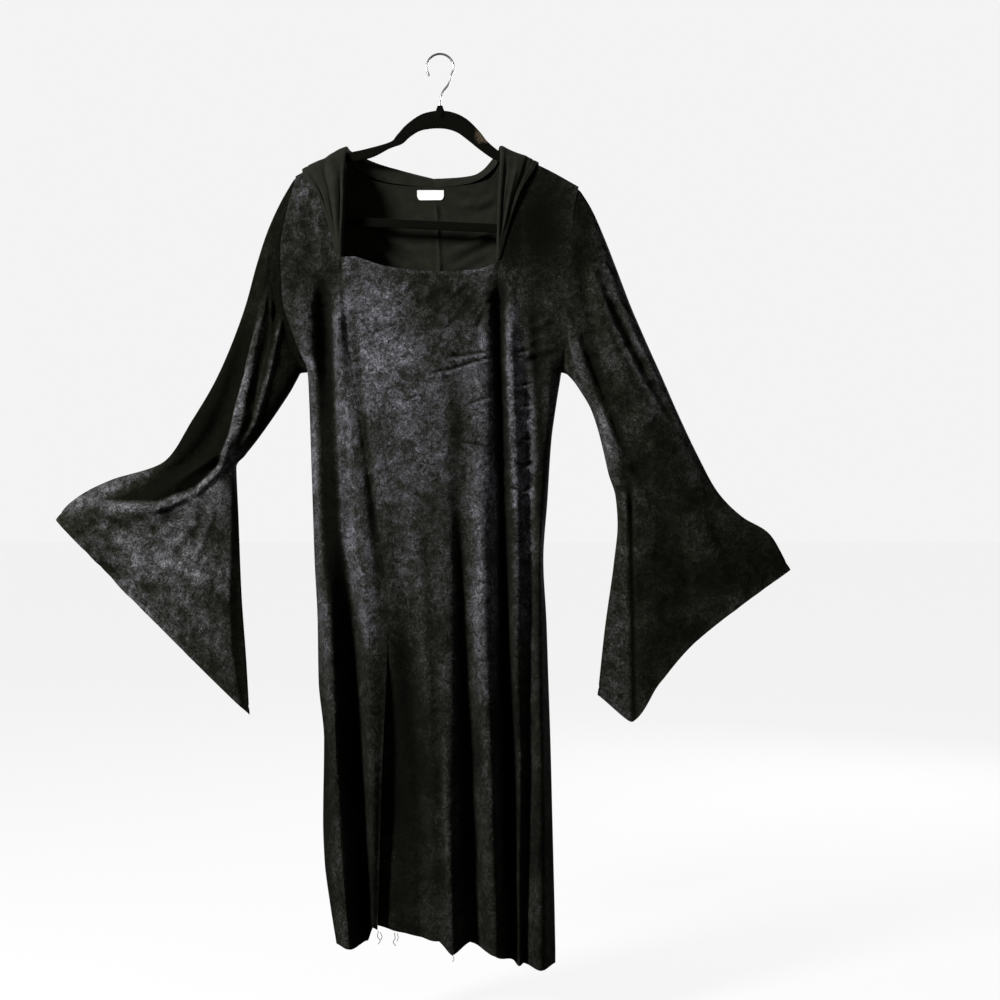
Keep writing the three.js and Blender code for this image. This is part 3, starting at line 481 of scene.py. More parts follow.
def crushed_pile_painted_sheen():
    """Node group for crushed pile. From a place on the cloth it puts out Lit (a painted sheen:
    patches where the pile would lie towards the light, 0 to 1, cut by thin lines of painted
    crease shade), Speck (dark flecks where it is pressed flat) and Height."""
    group = bpy.data.node_groups.new("crushed_pile_painted_sheen", "ShaderNodeTree")
    face = group.interface
    face.new_socket("Vector", in_out="INPUT", socket_type="NodeSocketVector")
    face.new_socket("Patch", in_out="INPUT", socket_type="NodeSocketFloat")
    for name in ("Lit", "Speck", "Height"):
        face.new_socket(name, in_out="OUTPUT", socket_type="NodeSocketFloat")
    given = group.nodes.new("NodeGroupInput").outputs

    def noise(finer, detail, rough, distortion):
        """Noise of a scale that is a multiple of the patches'."""
        return add(group, "TexNoise", {
            "Vector": given["Vector"], "Scale": times(group, given["Patch"], finer),
            "Detail": detail, "Roughness": rough, "Distortion": distortion,
        }, "Fac")

    def rise(value, low, high):
        """0 below low, 1 above high, with a smooth step between them."""
        return add(group, "MapRange", {"Value": value, "From Min": low, "From Max": high},
                   interpolation_type="SMOOTHSTEP")

    def lines(value, width):
        """Thin dark lines of painted crease shade, where a noise crosses its middle value."""
        off = add(group, "Math", {0: value, 1: 0.5}, operation="SUBTRACT")
        return rise(add(group, "Math", {0: off}, operation="ABSOLUTE"), 0.0, width)

    def part(value, weight):
        """A factor that only partly counts: weight times the value, plus one less the weight."""
        return plus_part(group, value, weight, 1 - weight)

    patches = rise(noise(1.0, 4, 0.68, 0.9), 0.36, 0.62)
    drift = rise(noise(0.22, 2, 0.5, 0.2), 0.34, 0.66)
    grains = rise(noise(3.6, 4, 0.72, 0.9), 0.42, 0.60)
    flecks = rise(noise(15.0, 2, 0.6, 0.3), 0.38, 0.62)
    # Painted shade: thin dark crease lines darken the painted sheen; the longer ones also raise the
    # bump.
    painted_crinkle_shade = lines(noise(2.1, 2, 0.6, 2.4), 0.045)
    crease_bump_and_painted_shade = times(group, lines(noise(0.8, 3, 0.6, 2.6), 0.035), part(painted_crinkle_shade, 0.65))
    cover = times(group, part(patches, 0.65), part(drift, 0.6))
    cover = times(group, cover, part(crease_bump_and_painted_shade, 0.85))
    height = times(group, grains, 0.45)
    for value, weight in ((patches, 0.40), (crease_bump_and_painted_shade, 0.35), (flecks, 0.08)):
        height = plus_part(group, value, weight, height)
    feed(group, group.nodes.new("NodeGroupOutput"), {
        "Lit": times(group, part(grains, 0.55), cover), "Speck": flecks, "Height": height})
    return group


PILE_PAINTED_SHEEN = crushed_pile_painted_sheen()


def velvet(name, deep, lit, patch):
    """Crushed velvet: near-black pile that goes through olive to its lit colour, a painted
    sheen, where the group's painted sheen and the cloth's painted light are high, broken by dark
    flecks, with a soft sheen at glancing angles."""
    material, tree, shader = blank(name)
    pile_and_painted_light = tree.nodes.new("ShaderNodeGroup")
    pile_and_painted_light.node_tree = PILE_PAINTED_SHEEN
    feed(tree, pile_and_painted_light, {"Vector": add(tree, "TexCoord", {}, "Object"), "Patch": patch})
    pile_and_painted_light_attr = add(tree, "Attribute", {}, "Fac", attribute_name="pile_and_painted_light")
    strength = times(tree, times(tree, pile_and_painted_light.outputs["Lit"], pile_and_painted_light_attr),
                     plus_part(tree, pile_and_painted_light.outputs["Speck"], 0.5, 0.5))
    middle = [(place, [d + place * v * t for d, v, t in zip(deep, lit, tint)])
              for place, tint in ((0.05, (0.97, 1.0, 0.72)), (0.16, (1.0, 0.99, 1.0)))]
    feed(tree, shader, {
        "Base Color": ramp(tree, strength, (0, deep), *middle, (1, lit)),
        "Roughness": add(tree, "MapRange", {"Value": strength, "To Min": 0.78, "To Max": 0.46}),
        "Normal": bump(tree, pile_and_painted_light.outputs["Height"], 0.75, 0.0030),
        "Specular IOR Level": 0.03, "Sheen Weight": 0.012, "Sheen Roughness": 0.32,
        "Sheen Tint": (0.34, 0.33, 0.38, 1)})
    return material


def knit(name, dark, light):
    """Plain knitted wrong side: fine ribs a millimetre apart down the cloth, and a mottle."""
    material, tree, shader = blank(name)
    place = add(tree, "UVMap", {}, uv_map="cloth")
    ribs = add(tree, "TexWave", {"Vector": place, "Scale": 300, "Distortion": 0.6, "Detail": 1},
               "Fac", wave_type="BANDS", bands_direction="X")
    mottle = add(tree, "TexNoise", {"Vector": place, "Scale": 55, "Detail": 5, "Roughness": 0.65},
                 "Fac")
    both = plus_part(tree, ribs, 0.22, mottle)
    feed(tree, shader, {
        "Base Color": ramp(tree, both, (0.32, dark), (0.92, light)),
        "Normal": bump(tree, both, 0.35, 0.0006),
        "Roughness": 0.82, "Specular IOR Level": 0.05, "Sheen Weight": 0.03, "Sheen Roughness": 0.5})
    return material


# The velvets' lit colours are the painted sheen of the crushed pile.
BODY_VELVET = velvet("velvet_body", (0.0024, 0.0027, 0.0015), (0.415, 0.402, 0.455), 60)
WRONG_SIDE = knit("velvet_wrong_side", (0.0060, 0.0063, 0.0042), (0.0148, 0.0153, 0.0108))


# Patches of painted light and shade on the front's velvet: over 1 a painted highlight, under 1 a
# painted shade.
FRONT_PAINTED_LIGHT = [  # x, z, half-width, half-height, times brighter (over 1) or duller (under 1)
    (160, -272, 72, 136, 0.01), (-96, -474, 56, 96, 2.1), (-140, -420, 18, 120, 1.5),
    (70, -560, 17, 96, 1.9), (26, -402, 76, 48, 0.25), (26, -600, 13, 90, 0.4),
    (-220, -310, 54, 120, 0.42), (120, -590, 16, 170, 1.9), (154, -420, 26, 60, 0.5),
    (152, -600, 14, 120, 1.3), (-40, -1160, 44, 250, 0.2), (76, -860, 18, 170, 1.8),
    (-196, -600, 12, 240, 1.6), (-20, -980, 30, 130, 1.5), (126, -940, 18, 160, 1.5),
    (-106, -880, 10, 120, 1.7), (-40, -760, 70, 90, 1.0), (180, -900, 22, 420, 0.6),
    (-190, -1180, 26, 220, 0.5), (110, -300, 20, 60, 0.2),
]


def painted_light_of(x, z, base, lift, patches):
    """Painted light and shade at each point: the base value times e to 0.3 of the relief, a
    painted shade in creases and painted highlight on ridges, times a soft round patch of painted
    light or shade at each place."""
    base = base * np.exp(np.clip(0.3 * lift, -3, 0.55))
    for cx, cz, wide, tall, change in patches:
        near = np.exp(-np.minimum((((x - cx) / wide) ** 2 + ((z - cz) / tall) ** 2) ** 1.5, 40))
        base = base * (1 + (change - 1) * near)
    return base


def front_painted_light(x, z, lift):
    """Painted light and shade on the front's velvet: less and less down the skirt, a painted fall
    of the light; a painted shade over the chest at the right, and a painted shadow inside the slit."""
    pile_and_painted_light = painted_light_of(x, z, 0.45 * (1 - 0.76 * smooth((-z - 660) / 440)), lift, FRONT_PAINTED_LIGHT)
    return pile_and_painted_light * (1 - 0.8 * bell((x + 62) / 22) * smooth((-z - 905) / 60))


grid, lift = panel(CENTRE_FOLDS, False, "neckline", front_relief, 2.9, 2.6)
front_center = cloth("front_center_panel", grid, front_painted_light(grid[..., 0], grid[..., 2], lift),
                     WRONG_SIDE, BODY_VELVET)
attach(front_center, "root")
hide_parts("front_center")

# ---- Front side panels -------------------------------------------------------------------
# One to each side of the centre panel, from the shoulder seam on the hanger's arm down to the
# hem, of the same velvet. Two pipes run down the left one to the slit; the right one carries a
# narrow sharp ridge beside the seam and a wide pipe at its side.
RIGHT_SIDE_FOLDS = [
    (None, (0, 0, 0, 0, 0), -1421),
    ((-211.2, -224, -179.2, -169.6, -160, -140.8), (0, -8, -16, -20, -25), -1418),
    ((-188.8, -184, -153.6, -140.8, -131.2, -116.8), (0, 10, 22, 30, 36), -1422),
    ((-169.6, -164.8, -137.6, -112, -105.6, -106.4), (0, -4, -8, -4, 6), -1391),
    ((-152, -155.2, -121.6, -81.6, -91.2, -99.2), (0, 0, 0, 4, 12), -1396),
]
LEFT_SIDE_FOLDS = [
    CENTRE_FOLDS[6],
    ((107.2, 102.4, 112, 118.4, 126.4, 126.4), (0, -6, -8, -8, -12), -1447),
    ((128, 128, 140.8, 142.4, 139.2, 133.6), (0, 8, 10, 8, 6), -1447),
    ((172.8, 164.8, 161.6, 156.8, 160, 160), (0, -8, -12, -20, -30), -1450),
    (None, (0, 0, 0, 0, 0), -1452),
]


def body_edges(sign):
    """Normals at a body panel's seams: up across the shoulder, sideways down the side."""
    def fix(grid, n):
        up = np.gradient(grid[0, :, 2], grid[0, :, 0])
        top = np.stack([-up, 0 * up, 1 + 0 * up], -1)
        top /= np.linalg.norm(top, axis=-1, keepdims=True)
        on_arm = (np.abs(grid[0, :, 1]) < 0.3)[:, None]
        n[0] = np.where(on_arm, sign * top, n[0])
        for c, way in ((0, -1), (-1, 1)):
            at_side = (np.abs(grid[:, c, 1]) < 0.3) & (grid[:, c, 2] < UNDERARM)
            n[:, c] = np.where(at_side[:, None], sign * np.array([way, 0.0, 0.0]), n[:, c])
    return fix


for name, node, lines, flat, area in (
    ("front_right_panel", "front_side_right", RIGHT_SIDE_FOLDS, (0.18, 1.27), 0.186),
    ("front_left_panel", "front_side_left", LEFT_SIDE_FOLDS, (0.165, 1.29), 0.174),
):
    grid, lift = panel(lines, False, "shoulder", front_relief, 3.2, 2.9)
    piece = cloth(name, grid, front_painted_light(grid[..., 0], grid[..., 2], lift), WRONG_SIDE, BODY_VELVET,
                  edge_normals=body_edges(-1))
    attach(piece, "root")
    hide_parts(node)

# ---- Back panels -------------------------------------------------------------------------
# Two halves joined by a seam down the middle of the back. Their wrong side shows through the
# wide neck, where the slack cloth hangs in shallow swags between the shoulders.
BACK_NECK = [  # x, z of the back neckline
    (-152, -156), (-148, -166), (-138, -182), (-110, -196), (-60, -204), (-11, -206),
    (40, -203), (78, -194), (92, -178), (97, -164), (99.2, -153.5),
]
BACK_MIDDLE = ((-11.2, -1.6, 1.6, 3.2, 3.2, 4.8), (0, 0, -2, -4, -4), -1408)
BACK_RIGHT_FOLDS = [
    (None, (0, 0, 0, 0, 0), -1421),
    ((-195.2, -184, -163.2, -156.8, -152, -140.8), (0, 4, 8, 12, 16), -1412),
    ((-152, -150.4, -124.8, -118.4, -112, -105.6), (0, -3, -6, -6, -7), -1402),
    ((-76.8, -72, -67.2, -64, -60.8, -56), (0, 4, 8, 12, 16), -1400),
    BACK_MIDDLE,
]
BACK_LEFT_FOLDS = [
    BACK_MIDDLE,
    ((48, 64, 60.8, 64, 70.4, 73.6), (0, 4, 8, 12, 16), -1420),
    ((99.2, 99.2, 105.6, 108.8, 115.2, 118.4), (0, -3, -6, -6, -7), -1432),
    ((160, 153.6, 144, 144, 150.4, 155.2), (0, 4, 8, 12, 16), -1444),
    (None, (0, 0, 0, 0, 0), -1452),
]
BACK_CREASES = [  # out (+ away from the body), half-width, path of x, z
    (4.4, 7.0, [(-140, -262), (-104, -292), (-60, -316), (-14, -330)]),
    (-4.2, 6.5, [(-132, -284), (-96, -308), (-56, -328), (-12, -340)]),
    (4.0, 7.0, [(-150, -300), (-110, -330), (-60, -350), (-8, -356)]),
    (-3.4, 6.0, [(-116, -262), (-80, -288), (-44, -304), (-12, -312)]),
    (4.2, 7.0, [(96, -284), (66, -306), (34, -322), (0, -330)]),
    (-4.0, 6.5, [(96, -262), (60, -292), (28, -306), (0, -312)]),
    (3.6, 6.5, [(98, -304), (66, -326), (30, -344), (4, -350)]),
    (-3.6, 5.5, [(92, -224), (62, -232), (30, -228)]),
    (3.4, 5.5, [(94, -236), (58, -246), (22, -240)]),
    (-2.2, 5.0, [(94, -258), (60, -264), (26, -256)]),
    (1.6, 8.0, [(-120, -420), (-60, -450), (10, -446)]),
    (-1.6, 7.0, [(-150, -470), (-80, -496), (0, -500)]),
    (1.6, 7.0, [(150, -440), (90, -470), (20, -480)]),
    (2.0, 9.0, [(-180, -560), (-172, -760), (-160, -1000)]),
    (2.0, 9.0, [(150, -560), (152, -760), (146, -1000)]),
    (-1.8, 9.0, [(-30, -640), (-36, -820), (-30, -1060)]),
    (-1.8, 9.0, [(36, -700), (34, -900), (30, -1180)]),
]


def back_relief(x, z):
    """Creases, crinkles and the middle seam's groove of the back, fading towards its sides."""
    relief = sum(crease(x, z, *one) for one in BACK_CREASES)
    relief += crush(x, z, 21, 380, (-230, 200, -1440, -380))
    relief += crush(x, z, 22, 60, (-210, 180, -1420, -700), (30, 80), (0.6, 1.6), 1.5, 0.25)
    gap = x - line_x(BACK_MIDDLE, z, False)
    pucker = 1 + 0.5 * np.sin(z / 6.1) * np.sin(z / 19.0)
    relief -= 2.6 * pucker * bell(gap / 2.8) * smooth((-z - 229) / 10)
    return relief * inside(x, z)


# Patches of painted light and shade on the back: the wide dull one under the hood is a painted shadow
# of the hood, the long ones light and shade the folds.
BACK_PAINTED_LIGHT = [  # x, z, half-width, half-height, times brighter or duller
    (-110, -620, 26, 240, 1.5), (60, -560, 24, 200, 1.4), (-20, -900, 16, 260, 0.5),
    (-160, -900, 20, 300, 0.6), (120, -1000, 18, 260, 1.5), (150, -500, 24, 160, 0.6),
    (-12, -460, 130, 40, 0.45), (20, -1250, 120, 120, 0.8),
]
for name, node, lines, flat, area in (
    ("back_right_panel", "back_right", BACK_RIGHT_FOLDS, (0.27, 1.25), 0.290),
    ("back_left_panel", "back_left", BACK_LEFT_FOLDS, (0.25, 1.25), 0.265),
):
    grid, lift = panel(lines, True, "back neck", back_relief, 3.4, 4.0)
    pile_and_painted_light = painted_light_of(grid[..., 0], grid[..., 2], 0.40, lift, BACK_PAINTED_LIGHT)
    piece = cloth(name, grid, pile_and_painted_light, BODY_VELVET, WRONG_SIDE, edge_normals=body_edges(1))
    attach(piece, "root")
    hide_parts(node)

# ---- Sleeves -----------------------------------------------------------------------------
# Each is one piece of velvet sewn into a tube that starts at the armhole, narrows at the elbow
# and opens into a wide pointed bell. They hang held out to both sides: the left bell is drawn
# up in a swag, the right one falls in soft diagonal folds.
RIGHT_SLEEVE = [  # outer edge x, z, inner edge x, z, half-depth
    (-230.4, -194.5, -211.2, -507.2, 30), (-254.4, -236.8, -222.4, -508.5, 30),
    (-275.2, -283.2, -228.8, -518.4, 31), (-292.8, -337.6, -238.4, -536, 31),
    (-308.8, -396.8, -252.8, -558.4, 30), (-329.6, -456, -273.6, -588.8, 29),
    (-356.8, -518.4, -294.4, -617.6, 28), (-395.2, -584, -312, -640, 27),
    (-443.2, -652.8, -326.4, -660.8, 26), (-524.8, -680, -323.2, -736, 24),
    (-568.5, -700.8, -318.4, -858, 21), (-596.5, -721.6, -310.4, -971, 18),
    (-614, -744, -305.6, -1055, 15),
]
LEFT_SLEEVE = [
    (224, -212.8, 193.6, -507.2, 30), (243.2, -244.8, 201.6, -509.5, 30),
    (262.4, -289.6, 212.8, -520, 31), (281.6, -340.8, 227.2, -540.5, 31),
    (302.4, -396.8, 241.6, -565.5, 30), (326.4, -452.8, 252.8, -597.5, 29),
    (353.6, -513.6, 262.4, -635.2, 28), (382.4, -579.2, 270.4, -670.4, 27),
    (412.8, -643.2, 281.6, -707.2, 26), (444.8, -700.8, 284.8, -752, 24),
    (483.2, -739.2, 278.4, -816, 21), (524.8, -764.8, 264, -920, 18),
    (560, -824, 252.8, -1024, 15),
]
# Folds down a sleeve's front: fraction across by section, out by section, width
RIGHT_SLEEVE_FOLDS = [
    ([(2, 0.25), (3.6, 0.3), (6.8, 0.78), (8.6, 0.46), (9.4, 0.38), (10.5, 0.1), (12, 0.05)],
      [(0, 0), (3, -5), (6, -8), (9, -12), (12, -6)], 0.1),
    ([(2, 0.1), (4, 0.12), (6.8, 0.4), (8.6, 0.2), (9.4, 0.14), (10.5, 0.0), (12, 0)],
      [(0, 0), (3, 4), (6, 9), (9, 10), (12, 0)], 0.14),
    ([(2, 0.55), (4, 0.6), (6, 0.85), (12, 0.9)], [(0, 0), (4, -6), (6, 0), (12, 0)], 0.08),
]
LEFT_SLEEVE_FOLDS = [
    ([(1, 0.2), (4, 0.42), (8, 0.35), (12, 0.3)], [(0, 0), (3, -7), (7, -5), (12, -9)], 0.12),
    ([(1, 0.4), (4, 0.66), (8, 0.6), (12, 0.55)], [(0, 0), (3, 7), (7, 6), (12, 8)], 0.14),
]
HEM_BOW = [(0, 0), (0.25, 2), (0.515, 13), (0.745, 36), (0.936, 65), (1, 0)]
RIGHT_SLEEVE_CREASES = [  # out (+ forward), half-width, path of x, z
    (6.0, 5.0, [(-262, -350), (-276, -400), (-290, -456), (-308, -530), (-328, -610),
         (-349, -664), (-384, -700), (-448, -726), (-528, -722), (-590, -708)], 0.12, 0.2),
    (-5.0, 15.0, [(-290, -400), (-308, -460), (-330, -530), (-356, -600), (-386, -650),
         (-426, -682), (-480, -696), (-540, -700)], 0.3, 0.1),
    (-3.0, 6.0, [(-606, -730), (-580, -752), (-560, -776)]),
    (-3.0, 7.0, [(-520, -728), (-490, -740), (-450, -742)]),
    (-2.4, 6.0, [(-372, -700), (-384, -760), (-420, -800), (-460, -812)]),
    (2.4, 8.0, [(-400, -740), (-440, -770), (-490, -776)]),
    (5.0, 4.0, [(-244, -400), (-256, -450), (-272, -520), (-294, -590), (-322, -640)], 0.2, 0.3),
    (-5.0, 6.0, [(-256, -390), (-268, -440), (-284, -510), (-306, -580)], 0.2, 0.3),
    (-2.0, 5.0, [(-556, -722), (-510, -750), (-460, -774), (-410, -780)]),
    (1.8, 6.0, [(-560, -744), (-500, -782), (-440, -806)]),
    (-1.8, 5.0, [(-346, -700), (-360, -760), (-390, -830), (-410, -880)]),
    (-1.6, 5.0, [(-338, -740), (-352, -820), (-372, -900)]),
    (1.4, 6.0, [(-340, -880), (-352, -940), (-340, -1000)]),
]
LEFT_SLEEVE_CREASES = [
    (-4.0, 8.0, [(206, -380), (232, -470), (268, -560), (292, -640), (304, -720)], 0.4, 0.4),
    (4.0, 5.0, [(196, -400), (220, -500), (250, -590), (276, -680)], 0.4, 0.3),
    (-10.0, 4.5, [(302, -690), (304, -780), (307, -900), (309, -1000), (310, -1066)], 0.1, 0.6),
    (-3.4, 7.0, [(240, -330), (284, -420), (330, -510), (380, -592), (420, -660),
         (456, -722)], 0.4, 0.4),
    (2.4, 5.0, [(236, -330), (272, -430), (318, -520), (366, -600)], 0.4, 0.4),
    (-3.0, 3.0, [(262, -330), (276, -352), (300, -372)]),
    (-3.0, 3.0, [(286, -392), (304, -420), (322, -436)]),
    (3.5, 9.0, [(250, -300), (282, -390), (322, -470), (370, -560), (420, -660)]),
    (-3.0, 7.0, [(214, -400), (232, -470), (262, -560), (300, -640), (350, -740)]),
    (3.0, 7.0, [(208, -440), (232, -520), (262, -610), (292, -680)]),
    (-2.2, 6.0, [(300, -420), (318, -452), (344, -478)]),
    (-2.0, 5.0, [(282, -360), (304, -380), (322, -410)]),
    (-2.0, 5.0, [(330, -500), (350, -530), (372, -552)]),
    (-2.0, 8.0, [(420, -720), (450, -790), (470, -860)]),
    (2.0, 8.0, [(380, -720), (400, -800), (410, -900)]),
    (-1.8, 6.0, [(490, -770), (500, -810), (520, -840)]),
]
# Lines down the front beyond which a sleeve's edge turns back, and the swag's ridge and rolled
# edge on either side of its hollow, where highlights are painted, with painted shade in the hollow
RIGHT_TURN = [(-334, -640), (-335, -740), (-338, -875), (-335, -957), (-322, -1060)]
LEFT_TURN = [(262, -600), (286, -690), (300, -860), (307, -1064)]
SWAG_RIDGE = [(-262, -340), (-285, -440), (-309, -520), (-328, -610), (-349, -661), (-384, -694),
              (-448, -718), (-528, -717), (-600, -706)]
SWAG_EDGE = [(-424, -628), (-440, -645), (-464, -664), (-528, -691), (-612, -741)]
RIGHT_SLEEVE_PAINTED_LIGHT = [
    (-440, -790, 60, 40, 1.35), (-364, -740, 22, 50, 1.5), (-550, -706, 50, 16, 1.9),
    (-380, -890, 50, 60, 0.7), (-588, -752, 22, 26, 0.35), (-500, -742, 34, 14, 0.5),
    (-350, -980, 30, 50, 0.5), (-480, -850, 60, 14, 0.7),
]
LEFT_SLEEVE_PAINTED_LIGHT = [
    (262, -300, 34, 60, 1.0), (224, -300, 22, 130, 0.15), (330, -420, 40, 90, 1.6),
    (400, -560, 34, 80, 1.5), (430, -790, 150, 130, 0.36), (370, -920, 90, 170, 0.30),
    (330, -660, 60, 60, 0.5), (278, -900, 20, 150, 2.2), (222, -480, 12, 70, 2.2),
    (262, -610, 12, 70, 2.2), (530, -800, 50, 46, 0.6),
]


def right_sleeve_painted_light(x, z, lift):
    """Painted light and shade: painted highlights below the swag's ridge, on two thin ridges above
    it and along the rolled edge; painted shade in the hollow between them, toward the body, over
    the top of the sleeve and on the strip that turns under."""
    below, _ = beside(x, z, SWAG_RIDGE)
    rolled, share = beside(x, z, SWAG_EDGE)
    hollow = smooth((below - 1) / 5) * (1 - smooth(share / 0.3) * bell(rolled / 13))
    upper = smooth((z + 452) / 40)
    pile_and_painted_light = mix(painted_light_of(x, z, 0.62, lift, RIGHT_SLEEVE_PAINTED_LIGHT), 0.01, hollow)
    inward = smooth((-below - 6) / 8) * smooth((z + 660) / 60)
    pile_and_painted_light = mix(pile_and_painted_light, 0.05 + 0.09 * np.maximum(lift, 0), inward)
    pile_and_painted_light = mix(pile_and_painted_light, 0.03 + 0.03 * np.maximum(lift, 0), upper)
    strip, _ = beside(x, z, RIGHT_TURN[:-1] + [(-322, -1035)])
    return pile_and_painted_light * (1 - 0.85 * smooth((-strip - 1) / 4) * smooth((-z - 640) / 60))


def left_sleeve_painted_light(x, z, lift):
    """Painted light: crinkled painted highlights down the arm and on the strip behind, duller over
    the rest of the bell, and a line of painted shade along the fold where the edge turns back.
    """
    turned, _ = beside(x, z, [(300, -680), (304, -780), (307, -900), (310, -1066)])
    pile_and_painted_light = painted_light_of(x, z, 0.32, lift, LEFT_SLEEVE_PAINTED_LIGHT)
    return pile_and_painted_light * (1 - 0.96 * bell(turned / 4.5) * smooth((-z - 670) / 40))


def sleeve(table, folds, creases, turn, turn_out, seed, is_left):
    """Mid-surface of a sleeve: rings from armhole to hem. A ring's height falls from outer to
    inner edge in a straight line, its depth is an oval; near the armhole it takes the
    armhole's own curve, and the left sleeve's hem bows downward. Folds are bell curves across
    the ring, and a turned edge falls back beyond a line drawn down the front."""
    corner = 224.0 if is_left else -230.4  # x of the shoulder's end
    tip = along(SHOULDER, np.array(corner))
    # around the ring from the inner edge up the front, over the outer edge, down the back
    front, back = (mix(0.5 - 0.5 * np.cos(np.pi * v), v, 0.65)
                   for v in (np.linspace(0, 1, 136), np.linspace(0, 1, 76)))
    t = np.concatenate([1 - front[:-1], back[:-1]])
    face = np.repeat([-1.0, 1.0], [len(front) - 1, len(back) - 1])
    # down the sleeve by rows of its table, closer at the armhole and in the bell
    k = [np.linspace(0, 0.5, 8)[:-1], np.linspace(0.5, 8, 110)[:-1], np.linspace(8, 12, 100)]
    k = np.concatenate(k)[:, None] + 0 * t
    t, face = t + 0 * k, face + 0 * k
    z0 = tip - t * (tip - UNDERARM)
    x0 = along(OUTLINE, z0, 2 if is_left else 1)
    y0 = face * np.where(face > 0, half_depth(x0, z0, True), half_depth(x0, z0, False))
    keyed = [(i, *row) for i, row in enumerate(table)]
    outer_x, outer_z, inner_x, inner_z, half = (along(keyed, k, column) for column in range(1, 6))
    x, z = mix(outer_x, inner_x, t), mix(outer_z, inner_z, t)
    y = face * half * np.maximum(0, 1 - np.abs(2 * t - 1) ** 2.6) ** 0.5
    fold = sum(along(out, k) * bell((t - along(path, k)) / width) for path, out, width in folds)
    y = y + np.where(face < 0, fold * np.sin(np.pi * np.clip(t, 0, 1)) ** 0.5, 0)
    if is_left:
        drop = along(HEM_BOW, t) * smooth((k - 7.5) / 4.5)
        drop = drop / np.hypot(outer_z - inner_z, inner_x - outer_x)
        x, z = x + (outer_z - inner_z) * drop, z - np.abs(inner_x - outer_x) * drop
    tucked = (-0.7 if is_left else 0.7) * (1 - smooth(k / 0.3))  # just under the body's edge
    x = x + (x0 - mix(table[0][0], table[0][2], t)) * (1 - smooth(k / 4)) + tucked
    y = mix(y0, y, smooth(k / 1.6))
    grid = np.stack([x, y, z], -1)
    out = normals(grid, True) * (-1 if is_left else 1)

    lift = sum(crease(x, z, *one) for one in creases) * (face < 0) * smooth(k / 0.8)
    whole = (x.min(), x.max(), -1060, -200)
    slant = 0.6 if is_left else -0.6
    apart = x + 900 * (face > 0)  # the back has wrinkles of its own
    lift = lift + crush(apart, z, seed, 420, whole, (9, 30), (0.4, 1.5), slant, 0.8) * smooth(k / 0.5)
    lift = lift + crush(x, z, seed + 1, 220, whole) * (face > 0) * smooth(k / 0.5)
    bold, slant = ((250, 470, -900, -280), 0.7) if is_left else ((-600, -345, -900, -700), -0.6)
    lift = lift + crush(x, z, seed + 2, 110, bold, (12, 34), (0.7, 2.2), slant, 0.5) * (face < 0)
    room = np.sin(np.pi * np.clip(t, 0, 1)) ** 0.7
    lift = lift * smooth((room - 0.15) / 0.5)
    lift = lift - 1.1 * bell((k - 0.05) / 0.06)  # the armhole seam
    lift = lift + hem_relief(np.linalg.norm(grid - grid[-1:], axis=-1), 0.8, 0.4)
    grid = grid + out * lift[..., None]
    path = np.array(turn, float)
    beyond = (np.interp(-z, -path[:, 1], path[:, 0]) - x) * (1 if is_left else -1)
    fall = turn_out * smooth(beyond / 16) * smooth((path[0, 1] - z) / 80) * (face < 0)
    grid[..., 1] += fall * room**0.5
    return grid, lift - 0.12 * fall


SLEEVE_VELVET = velvet("velvet_sleeve", (0.0023, 0.0025, 0.0011), (0.350, 0.342, 0.364), 58)
for name, node, args, is_left, flat, area in (
    ("right_sleeve", "sleeve_right",
     (RIGHT_SLEEVE, RIGHT_SLEEVE_FOLDS, RIGHT_SLEEVE_CREASES, RIGHT_TURN, 11, 31),
     False, (0.88, 0.86), 0.246),
    ("left_sleeve", "sleeve_left",
     (LEFT_SLEEVE, LEFT_SLEEVE_FOLDS, LEFT_SLEEVE_CREASES, LEFT_TURN, 9, 41),
     True, (0.78, 0.90), 0.270),
):
    grid, lift = sleeve(*args, is_left)
    sides = (WRONG_SIDE, SLEEVE_VELVET) if is_left else (SLEEVE_VELVET, WRONG_SIDE)
    pile_and_painted_light = (left_sleeve_painted_light if is_left else right_sleeve_painted_light)(grid[..., 0], grid[..., 2], lift)
    piece = cloth(name, grid, pile_and_painted_light, *sides, wrap=True)
    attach(piece, "root")
    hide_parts(node)

